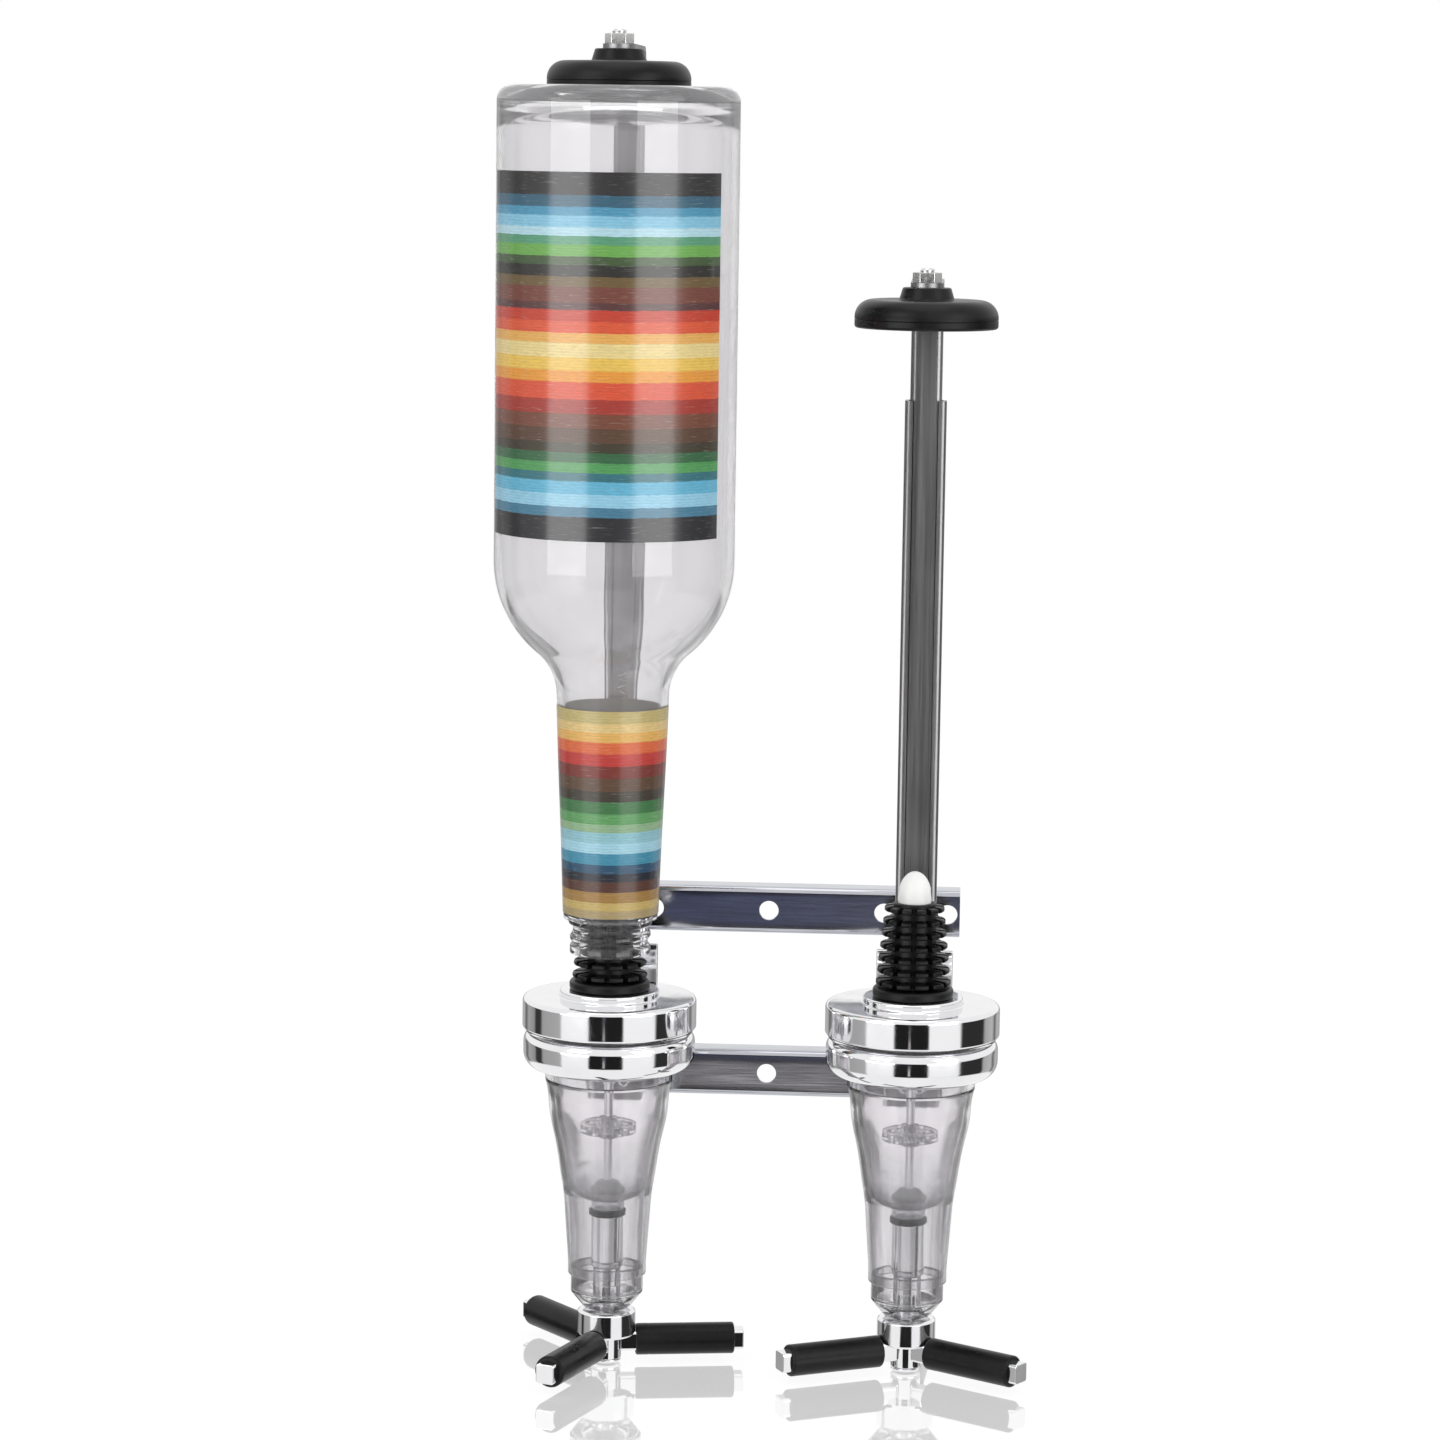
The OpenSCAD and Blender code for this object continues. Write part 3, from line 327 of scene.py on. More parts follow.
NECK_STRIPES = (
    (0.0, (0.62, 0.5, 0.2)), (0.055, (0.85, 0.62, 0.25)), (0.1, (0.88, 0.5, 0.12)),
    (0.145, (0.8, 0.15, 0.04)), (0.2, (0.6, 0.04, 0.03)), (0.26, (0.22, 0.03, 0.02)),
    (0.32, (0.12, 0.06, 0.03)), (0.38, (0.05, 0.04, 0.025)), (0.43, (0.05, 0.2, 0.06)),
    (0.49, (0.12, 0.38, 0.12)), (0.54, (0.3, 0.5, 0.28)), (0.58, (0.3, 0.6, 0.68)),
    (0.63, (0.4, 0.72, 0.85)), (0.68, (0.05, 0.3, 0.45)), (0.735, (0.015, 0.08, 0.16)),
    (0.78, (0.012, 0.015, 0.03)), (0.82, (0.1, 0.035, 0.02)), (0.87, (0.4, 0.22, 0.05)),
    (0.92, (0.62, 0.45, 0.14)), (0.96, (0.45, 0.34, 0.16)),
)
THREAD_PITCH = 0.9 * MM


def woven_label(name, stripes, top, height):
    """Paper printed with the bands of a woven blanket, from the label's upper edge down."""
    f = Finish(name)
    rise = f.height(top)
    wander = f.noise(f.place((1, 1, 0.02)), 260, 2, 0.5)
    down = rise * (-1 / height) + (wander - 0.5) * 0.006
    bands = f.node("ShaderNodeValToRGB", {"interpolation": "CONSTANT", "stops": stripes}, {0: down})
    threads = f.node("ShaderNodeMath", {"operation": "SINE"}, {0: rise * (math.tau / THREAD_PITCH)})
    weave = f.noise(f.place((1, 1, 9)), 420, 5, 0.75)
    shade = f.remap(weave, 0.3, 0.75, 0.0, 0.4) + threads * 0.05
    tint = f.mix(shade, bands, (0.02, 0.015, 0.02), "MULTIPLY")
    flecks = f.noise(f.place((1, 1, 22)), 190, 3, 0.6)
    tint = f.mix(f.remap(flecks, 0.62, 0.74, 0, 0.25), tint, (0.82, 0.8, 0.72))
    return f.surface(Base_Color=tint, Roughness=f.remap(weave, 0.3, 0.7, 0.36, 0.5),
                     Coat_Weight=f.remap(weave, 0.3, 0.7, 0.95, 0.75), Coat_Roughness=0.16,
                     Normal=f.bump(weave, 0.06, 0.0002))


FINISHES = {}


def finishes():
    """Every finish, made once."""
    if not FINISHES:
        FINISHES.update(
            optic_chrome=polished_chrome(), bracket_chrome=sheet_chrome(), brushed=brushed_steel(),
            fastener_steel=zinc_steel(), black_rubber=black_rubber(),
            # The last colour of each clear plastic is its painted shade tint, low down and edge-on
            clear_plastic=clear_plastic("clear_plastic", 0.012, (0.22, 0.21, 0.225)),
            clouded_plastic=clear_plastic("clouded_plastic", 0.06, (0.5, 0.49, 0.51)),
            white_plastic=white_plastic(), bottle_glass=bottle_glass())
    return FINISHES


# ---- Modelling by hand ----


def mode(name):
    bpy.ops.object.mode_set(mode=name)


def only(piece):
    """Selects one piece and makes it active."""
    if bpy.context.object and bpy.context.object.mode != "OBJECT":
        mode("OBJECT")
    bpy.ops.object.select_all(action="DESELECT")
    piece.select_set(True)
    bpy.context.view_layer.objects.active = piece


def choose(piece, kind, test):
    """In edit mode, selects just the vertices or edges that pass the test."""
    bpy.ops.mesh.select_mode(type={"verts": "VERT", "edges": "EDGE"}[kind])
    bpy.ops.mesh.select_all(action="DESELECT")
    shape = bmesh.from_edit_mesh(piece.data)
    for element in getattr(shape, kind):
        if test(element):
            element.select_set(True)
    shape.select_flush_mode()
    bmesh.update_edit_mesh(piece.data)


def take_all():
    """In edit mode, selects everything."""
    bpy.ops.mesh.select_all(action="SELECT")


def weld(distance):
    """In edit mode, merges the points that lie this near each other."""
    take_all()
    bpy.ops.mesh.remove_doubles(threshold=distance)


def close_run(piece):
    """In edit mode, joins the two ends of a drawn run."""
    weld(WELD_DOUBLES)
    choose(piece, "verts", lambda v: len(v.link_edges) == 1)
    bpy.ops.mesh.edge_face_add()


def face_outward():
    """Turns every face of a closed shape outward and leaves edit mode."""
    take_all()
    bpy.ops.mesh.normals_make_consistent(inside=False)
    mode("OBJECT")


def edge_middle(edge):
    return (edge.verts[0].co + edge.verts[1].co) / 2


def apply_modifier(piece, kind, **settings):
    only(piece)
    modifier = piece.modifiers.new(kind.title(), kind)
    for name, value in settings.items():
        setattr(modifier, name, value)
    bpy.ops.object.modifier_apply(modifier=modifier.name)


def round_edges(piece, width, segments, limit):
    """Rounds by a width in millimetres the edges that bend more than a limit in degrees."""
    apply_modifier(piece, "BEVEL", width=width * MM, segments=segments,
                   limit_method="ANGLE", angle_limit=math.radians(limit))


def repeat_round(piece, axis, count):
    """Repeats a piece evenly round an upright axis."""
    only(piece)
    mode("EDIT")
    take_all()
    bpy.ops.mesh.spin(steps=count, angle=math.tau, center=axis, axis=(0, 0, 1), dupli=True)
    weld(WELD_DOUBLES)
    mode("OBJECT")


def settle(piece, name, body, slot, node, look=None, angle=35):
    """Puts a finished piece's place in its mesh, smooths it and shows it for its node.

    Its finish is its slot's own unless a look is given; body is None for a piece that bends between two.
    """
    only(piece)
    bpy.ops.object.transform_apply(location=True, rotation=True, scale=True)
    bpy.ops.object.shade_smooth_by_angle(angle=math.radians(angle))
    apply_modifier(piece, "WEIGHTED_NORMAL", mode="FACE_AREA", weight=80, keep_sharp=True)
    piece.name = piece.data.name = name
    piece.data.materials.clear()
    piece.data.materials.append(look or finishes()[slot])
    if body:
        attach(piece, body)
    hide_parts(node)


def eased(node, name, body, slot, bevel, segments=2, limit=30, look=None):
    """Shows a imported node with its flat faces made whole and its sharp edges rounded, in millimetres."""
    piece = bpy.data.objects.new(name, frame["nodes"][node].data.copy())
    bpy.context.scene.collection.objects.link(piece)
    only(piece)
    bpy.ops.mesh.customdata_custom_splitnormals_clear()
    mode("EDIT")
    weld(WELD)
    bpy.ops.mesh.dissolve_limited(angle_limit=math.radians(0.4))
    mode("OBJECT")
    if bevel:
        round_edges(piece, bevel, segments, limit)
    settle(piece, name, body, slot, node, look)


def profile_start(spot):
    """A single vertex in edit mode, from which a profile is extruded."""
    bpy.ops.object.select_all(action="DESELECT")
    bpy.ops.mesh.primitive_plane_add(size=MM, location=spot)
    mode("EDIT")
    bpy.ops.mesh.select_mode(type="VERT")
    take_all()
    bpy.ops.mesh.merge(type="CENTER")
    return bpy.context.object


def draw(points):
    """Extrudes the selected vertex along a run of points."""
    for here, there in zip(points, points[1:]):
        bpy.ops.mesh.extrude_region_move(TRANSFORM_OT_translate={"value": Vector(there) - Vector(here)})


def arc(x, z, r, start, end, steps):
    """Points of an arc in a profile, between two angles in degrees."""
    angles = (math.radians(start + (end - start) * i / steps) for i in range(steps + 1))
    return [(x + r * math.cos(a), z + r * math.sin(a)) for a in angles]


def flow(points, steps=5):
    """A smooth run through the given points of a profile, by the cubic that passes through them all."""
    ends = [points[0], *points, points[-1]]
    run = []
    for before, here, there, after in zip(ends, ends[1:], ends[2:], ends[3:]):
        for i in range(steps):
            t = i / steps
            run.append(tuple(
                0.5 * (2 * h + (n - b) * t + (2 * b - 5 * h + 4 * n - a) * t * t
                       + (3 * h - b - 3 * n + a) * t ** 3)
                for b, h, n, a in zip(before, here, there, after)))
    return run + [points[-1]]


def turned(profile, axis, steps=112, sweep=360.0, start=0.0):
    """Spins a closed profile of (radius, height) in millimetres about an upright axis."""
    points = [axis + Vector((r * MM, 0, z * MM)) for r, z in profile]
    piece = profile_start(points[0])
    draw(points)
    if profile[0][0] > 0 or profile[-1][0] > 0:
        close_run(piece)
    take_all()
    if sweep < 360:
        bpy.ops.mesh.edge_face_add()
    if start:
        bpy.ops.transform.rotate(value=-math.radians(start), orient_axis="Z", center_override=axis)
    bpy.ops.mesh.spin(steps=steps, angle=-math.radians(sweep), center=axis, axis=(0, 0, 1))
    weld(WELD)
    bpy.ops.mesh.delete_loose(use_verts=True, use_edges=True, use_faces=False)
    face_outward()
    return piece


def wound(profile, axis, low, pitch, turns, steps):
    """Winds a closed profile of (radius, height) up a helix about an upright axis, in millimetres."""
    bottom = axis + Vector((0, 0, low * MM))
    piece = profile_start((profile[0][0] * MM, 0, profile[0][1] * MM))
    draw([(r * MM, 0, z * MM) for r, z in profile])
    close_run(piece)
    mode("OBJECT")
    bpy.ops.object.transform_apply(location=True)
    apply_modifier(piece, "SCREW", angle=math.tau, screw_offset=pitch * MM, iterations=turns,
                   steps=steps, render_steps=steps, use_merge_vertices=False)
    mode("EDIT")
    choose(piece, "edges", lambda e: e.is_boundary)
    bpy.ops.mesh.edge_face_add()
    face_outward()
    piece.location = bottom
    return piece


def slab(outline, axis, width, soft):
    """An outline of (way back from the axis, height) drawn across a station, thickened and softened."""
    points = [axis + Vector((-width / 2 * MM, y * MM, z * MM)) for y, z in outline]
    piece = profile_start(points[0])
    draw(points)
    take_all()
    bpy.ops.mesh.edge_face_add()
    bpy.ops.mesh.extrude_region_move(TRANSFORM_OT_translate={"value": (width * MM, 0, 0)})
    face_outward()
    bpy.ops.object.transform_apply(location=True)
    round_edges(piece, soft, 3, 30)
    return piece


def ring_of(r, count):
    """A closed circle as a profile, for round wire: pairs of offsets from the wire's centre."""
    return [(r * math.cos(math.tau * i / count), r * math.sin(math.tau * i / count)) for i in range(count)]


def join(pieces):
    only(pieces[0])
    for piece in pieces:
        piece.select_set(True)
    bpy.ops.object.join()
    return bpy.context.object


# ---- Sizes and looks that a user may change ----


class OpticSizes(bpy.types.PropertyGroup):
    """Sizes of the pieces that are modelled here rather than carried over."""

    edge_round: FloatProperty(
        name="Edge rounding", description="Rounding of the bracket's cut edges",
        default=0.3 * MM, min=0.0, soft_max=0.001, unit="LENGTH")
    knob_columns: IntProperty(
        name="Knobs round", description="Rubber knobs round each ring of the stopper",
        default=12, min=8, max=16)
    knob_rows: IntProperty(
        name="Knob rings", description="Rings of knobs up the stopper", default=7, min=5, max=8)


class StudioLook(bpy.types.PropertyGroup):
    """Light and floor."""

    lamp_power: FloatProperty(
        name="Lamp power", description="Power of each main soft lamp", default=3.2, min=0.0, unit="POWER")
    sky_strength: FloatProperty(
        name="Sky strength", description="Strength of the even white light all round", default=0.8, min=0.0)
    box_glow: FloatProperty(
        name="Screen glow", description="Brightness of the two tall screens that show in the bottle",
        default=4.5, min=1.0)
    floor_colour: FloatVectorProperty(
        name="Floor colour", description="Colour of the pale floor",
        default=(0.93, 0.93, 0.93), min=0.0, max=1.0, subtype="COLOR")


# ---- Pieces ----


class OPTIC_OT_crossbars(bpy.types.Operator):
    """Rounds the two crossbars' bends and hole edges"""

    bl_idname = "optic.crossbars"
    bl_label = "Crossbars"

    def execute(self, context):
        edge = context.scene.optic_sizes.edge_round / MM
        for node in ("upper_crossbar", "lower_crossbar"):
            eased(node, node + "_plated", "bracket", "bracket_chrome", edge, 3)
        return {"FINISHED"}


class OPTIC_OT_tracks(bpy.types.Operator):
    """Rounds the folds of the two tracks and of the arms that slide in them"""

    bl_idname = "optic.tracks"
    bl_label = "Tracks and arms"

    def execute(self, context):
        edge, look = context.scene.optic_sizes.edge_round / MM, finishes()["brushed"]
        for side in SIDES:
            eased(side + "_track", side + "_track_folded", "bracket", "bracket_chrome", edge, 3, look=look)
            eased(side + "_slider", side + "_arm_folded", side + "_arm", "bracket_chrome", edge, 3, look=look)
        return {"FINISHED"}


class OPTIC_OT_holders(bpy.types.Operator):
    """Turns the full-rounded holder rings, with their arms, webs and plates, and eases the fasteners"""

    bl_idname = "optic.holders"
    bl_label = "Holders"

    # The upright plate, in millimetres, and how near its corner an edge lies that is rounded
    PLATE_TOP, PLATE_FOOT, PLATE_WIDE = 9.4, -42.45, 25
    CORNER_ROUND, CORNER_NEAR = 2.2, 0.6

    def execute(self, context):
        top, foot = self.PLATE_TOP, self.PLATE_FOOT
        for side in SIDES:
            axis = AXES[side]
            ring = turned(
                [(20.8, -11.5), (21.3, -11)] + arc(24.1, -14.4, 3.4, 90, 0, 12)
                + arc(22.1, -17.8, 5.4, 0, -90, 16) + [(21.3, -23.2), (20.8, -22.7)], axis, steps=128)
            arm = slab([(26.6, -13), (39.1, -13), (39.1, -21.2), (26, -21.2)], axis, 12, 0.9)
            web = slab([(24.5, -20.2), (39.1, -20.2), (39.1, -32.1)], axis, 3, 0.4)
            plate = slab([(39, top), (41, top), (41, foot), (39, foot)], axis, self.PLATE_WIDE, 0.35)
            only(plate)
            mode("EDIT")
            ends = (top * MM + axis.z, foot * MM + axis.z)
            choose(plate, "edges", lambda e: abs((e.verts[0].co - e.verts[1].co).y) > 1 * MM
                   and abs(edge_middle(e).x - axis.x) > (self.PLATE_WIDE / 2 - self.CORNER_NEAR) * MM
                   and min(abs(edge_middle(e).z - z) for z in ends) < self.CORNER_NEAR * MM)
            bpy.ops.mesh.bevel(offset=self.CORNER_ROUND * MM, segments=6, clamp_overlap=True)
            mode("OBJECT")
            settle(join([ring, arm, web, plate]), side + "_holder_cast", "bracket", "optic_chrome",
                   side + "_holder_ring")
        for node in ("holder_screws", "holder_nuts", "track_rivets", "spring_pins"):
            eased(node, node + "_plated", "bracket", "fastener_steel", 0.2)
        return {"FINISHED"}


class OPTIC_OT_caps(bpy.types.Operator):
    """Turns the two caps: a filleted boss, a softly rounded rim and the screw thread inside"""

    bl_idname = "optic.caps"
    bl_label = "Caps"

    def execute(self, context):
        for side in SIDES:
            axis = AXES[side]
            shell = turned(
                [(4, -3), (4, 2.2), (4.2, 2.4)] + arc(15.3, 1.7, 0.7, 90, 0, 6)
                + arc(16.6, 0.55, 0.6, 180, 270, 5) + [(20, -0.05)] + arc(26.35, -1.5, 1.5, 90, 0, 10)
                + arc(27.05, -9.2, 0.8, 0, -90, 6) + [(24.75, -10), (24.35, -9.6), (24.35, -3.4), (23.9, -3)],
                axis, steps=128)
            thread = wound([(24.55, 0), (24.12, 0.3), (24.12, 0.5), (24.55, 0.8)], axis, -9.2, 1.7, 3, 64)
            settle(join([shell, thread]), side + "_cap_turned", "bracket", "optic_chrome", side + "_cap")
        return {"FINISHED"}


class OPTIC_OT_measures(bpy.types.Operator):
    """Turns the clear chambers, the measure bowls in them and the sliding noses"""

    bl_idname = "optic.measures"
    bl_label = "Measures"

    TAPER = [(20.4, -27), (19.5, -31.2), (18.8, -38.7), (16.7, -48.4), (15.2, -58.2), (14.15, -64.8),
             (13.4, -75), (12.75, -84)]
    WALL = 1.9

    def execute(self, context):
        for side in SIDES:
            axis = AXES[side]
            outside, inside = flow(self.TAPER), flow([(r - self.WALL, z) for r, z in self.TAPER[:6]])
            chamber = turned(
                [(22.2, -3.7), (23.7, -3.6), (24, -3.9), (24, -10.1), (26.8, -10.1), (27, -10.3), (26.8, -11),
                 (20.7, -11), (20.4, -11.4)] + outside + [(12.57, -87)] + arc(12.2, -90.6, 0.37, 0, -90, 3)
                + [(11.65, -91), (11.65, -79), (12.1, -74)] + inside[::-1]
                + [(18.2, -26.6), (18.2, -9.2), (18.4, -9), (22, -9)], axis)
            settle(chamber, side + "_chamber_moulded", "bracket", "clear_plastic", side + "_chamber")
            cup = flow([(17.75, -26.6), (17.3, -31.2), (16.45, -38.7), (14.4, -48.4), (12.85, -57.6)])
            bowl = turned(
                [(21.5, -7.4), (21.7, -7.6), (21.7, -9), (17.8, -9)] + cup + arc(5.85, -59, 7, -2, -84, 10)
                + [(5.4, -66.2), (5.4, -69), (5.2, -69.2), (4.2, -69.2), (4.2, -64.9)]
                + arc(5.85, -58.9, 5.7, -90, -2, 9) + [(r - 1.3, z) for r, z in cup[::-1]]
                + [(16.5, -7.7), (16.8, -7.4)], axis)
            settle(bowl, side + "_bowl_moulded", "bracket", "clear_plastic", side + "_measure_bowl",
                   finishes()["clouded_plastic"])
            nose = turned(
                [(9.8, -88.3), (10.1, -88), (11.2, -88)] + arc(11.2, -88.4, 0.4, 90, 0, 4)
                + arc(10.9, -96.7, 0.7, 0, -50, 5) + arc(7.2, -101.3, 0.7, -50, -90, 4)
                + [(4.3, -102), (4, -101.7), (4, -98.7), (4.4, -98.4)]
                + arc(9.1, -96.2, 0.7, -70, 0, 5), axis)
            settle(nose, side + "_nose_moulded", side + "_plunger", "clear_plastic", side + "_nose")
        return {"FINISHED"}


class OPTIC_OT_valves(bpy.types.Operator):
    """Turns the outlet tubes and seals and the sprung plungers with their valves"""

    bl_idname = "optic.valves"
    bl_label = "Valves"

    def execute(self, context):
        for side in SIDES:
            axis, plunger = AXES[side], side + "_plunger"
            for name, body, slot, profile in (
                    ("_outlet_tube", "bracket", "optic_chrome",
                     [(3, -71.5)] + arc(4.9, -71.9, 0.4, 90, 0, 4)
                     + [(5.3, -88.2), (5, -88.5), (4.5, -88.5), (4.5, -73), (3, -73)]),
                    ("_outlet_seal", "bracket", "black_rubber",
                     [(4.2, -71.5)] + arc(5.44, -71, 0.5, -90, 0, 4) + arc(5.44, -69.7, 0.5, 0, 90, 4)
                     + [(4.2, -69.2)]),
                    ("_spout", plunger, "optic_chrome",
                     [(2.9, -84.6), (3, -84.5), (4.2, -84.5), (4.45, -84.8), (4.45, -97.5), (4, -98.5),
                      (4, -119.2)] + arc(4.35, -119.6, 0.4, 90, 0, 4) + arc(4.05, -119.6, 0.8, 0, -90, 6)
                     + [(3.1, -120.4), (2.9, -120.2)]),
                    ("_inlet_valve", plunger, "black_rubber",
                     [(1.4, -17), (4.8, -17), (5, -16.8), (5, -16), (4.7, -15.6), (3.3, -13.6), (3, -13.4),
                      (1.4, -13.4)]),
                    ("_outlet_valve", plunger, "black_rubber",
                     [(1.4, -64.3), (5.4, -64.3), (5.6, -64.1), (5.6, -63.1), (5.3, -62.7), (3.4, -60.5),
                      (3.1, -60.3), (1.4, -60.3)])):
                settle(turned(profile, axis, 64), side + name + "_turned", body, slot, side + name)
            eased(side + "_valve_disc", side + "_valve_disc_eased", plunger, "white_plastic", 0.18,
                  look=finishes()["clouded_plastic"])
            eased(side + "_spindle", side + "_spindle_eased", plunger, "optic_chrome", 0.18)
        return {"FINISHED"}


class OPTIC_OT_stoppers(bpy.types.Operator):
    """Moulds the knobbed rubber stoppers and rounds the white inlet tubes in them"""

    bl_idname = "optic.stoppers"
    bl_label = "Stoppers"

    # In millimetres: height of the lowest knobs and of a step up, reach of the lowest and what the
    # topmost lack of it, where the bottle's mouth begins and how far knobs reach in it, and their gap
    RING_LOW, RING_PITCH = 7, 3.95
    REACH, REACH_LOST = 12, 2.4
    MOUTH_LOW, MOUTH_R = 12.8, 9.75
    KNOB_GAP = 1.7

    def execute(self, context):
        sizes = context.scene.optic_sizes
        for side in SIDES:
            axis = AXES[side]
            core = turned(
                [(4, 2.4)] + arc(12.2, 3.1, 0.7, -90, 0, 4) + arc(11.7, 4.2, 1.2, 0, 90, 6) + [(8.4, 5.4)]
                + arc(8.2, 6.1, 0.7, 270, 190, 4) + [(6.8, 32)] + arc(6.2, 32.1, 0.6, 0, 90, 4)
                + [(4, 32.7)], axis, 72)
            pieces = [core]
            for row in range(sizes.knob_rows):
                z = self.RING_LOW + self.RING_PITCH * row
                reach = self.REACH - self.REACH_LOST * row / (sizes.knob_rows - 1)
                if side == "left" and z > self.MOUTH_LOW:
                    reach = min(reach, self.MOUTH_R)
                pieces.append(self.knobs(axis, z, reach, sizes.knob_columns))
            settle(join(pieces), side + "_stopper_moulded", "bracket", "black_rubber", side + "_stopper",
                   angle=50)
            eased(side + "_inlet_tube", side + "_inlet_tube_moulded", "bracket", "white_plastic", 0.35, 3, 25)
        return {"FINISHED"}

    def knobs(self, axis, z, reach, count):
        """One ring of rounded knobs: a section is swept through a knob's width, bevelled and repeated."""
        width = 360 / count - math.degrees(self.KNOB_GAP / reach)
        knob = turned([(5.8, z - 1.2), (reach - 0.7, z - 0.85), (reach, z - 0.5), (reach, z + 0.5),
                       (reach - 0.7, z + 0.85), (5.8, z + 1.2)], axis, 5, width, 360 / count / 2 - width / 2)
        round_edges(knob, 0.3, 2, 40)
        repeat_round(knob, axis, count)
        return knob


class OPTIC_OT_pads(bpy.types.Operator):
    """Moulds the bottle pads and makes the threaded bolts and nuts that hold them on the arms"""

    bl_idname = "optic.pads"
    bl_label = "Pads"

    def execute(self, context):
        for side in SIDES:
            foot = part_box(side + "_pad")[0].z
            axis = Vector((AXES[side].x, AXIS_OUT, foot))
            arm = side + "_arm"
            pad = turned(
                [(2.4, 3.2), (8.6, 3.2), (9.4, 3), (18.2, 1.1), (19.2, 0.3), (20.4, 0)]
                + arc(21.5, 1, 1, -90, 0, 6) + [(22.5, 2.6), (22.35, 2.75), (22.5, 2.9)]
                + arc(17, 3.4, 5.5, 0, 84, 14)
                + arc(9.2, 9.6, 0.7, 270, 190, 4) + arc(7.05, 12, 0.7, 0, 90, 5) + [(2.6, 12.7), (2.4, 12.5)],
                axis, steps=120)
            settle(pad, side + "_pad_moulded", arm, "black_rubber", side + "_pad")
            shank = turned(
                [(0, 0.8)] + arc(3.2, 1.8, 1, -90, 0, 5)
                + [(4.2, 3.2), (2.4, 3.2), (2.4, 14), (2.05, 14.3), (2.05, 18.2), (1.6, 18.7), (0, 18.7)],
                axis, steps=40)
            thread = wound([(1.9, 0), (2.38, 0.28), (2.38, 0.38), (1.9, 0.66)], axis, 13.9, 0.8, 5, 32)
            settle(join([shank, thread]), side + "_pad_bolt_cut", arm, "fastener_steel", side + "_pad_bolt")
            eased(side + "_pad_nut", side + "_pad_nut_eased", arm, "fastener_steel", 0.4, limit=40)
        return {"FINISHED"}


class OPTIC_OT_triggers(bpy.types.Operator):
    """Rounds the hubs and square rods and turns the rubber grips on them"""

    bl_idname = "optic.triggers"
    bl_label = "Triggers"

    ARMS_Z = -113.5

    def execute(self, context):
        for side in SIDES:
            trigger = side + "_trigger"
            eased(trigger + "_hub", side + "_hub_turned", trigger, "optic_chrome", 0.3, 3)
            eased(trigger + "_rods", side + "_rods_eased", trigger, "optic_chrome", 0.45, 3)
            axis = AXES[side] + Vector((0, 0, self.ARMS_Z * MM))
            grip = turned(
                [(0, 9.5)] + arc(4.4, 10.2, 0.7, -90, 0, 5)
                + [(5.1, 13.4), (5.02, 13.7), (5.08, 14), (5.08, 38.4)] + arc(4.3, 40.7, 0.8, 0, 90, 6)
                + [(3.6, 41.5), (0, 41.5)], Vector((0, 0, 0)), steps=56)
            only(grip)
            mode("EDIT")
            take_all()
            bpy.ops.transform.rotate(value=-math.pi / 2, orient_axis="Y", center_override=(0, 0, 0))
            bpy.ops.transform.rotate(value=-TRIGGER_TURN[side], orient_axis="Z", center_override=(0, 0, 0))
            bpy.ops.transform.translate(value=axis)
            repeat_round(grip, axis, 3)
            settle(grip, side + "_grips_moulded", trigger, "black_rubber", trigger + "_grips")
        return {"FINISHED"}


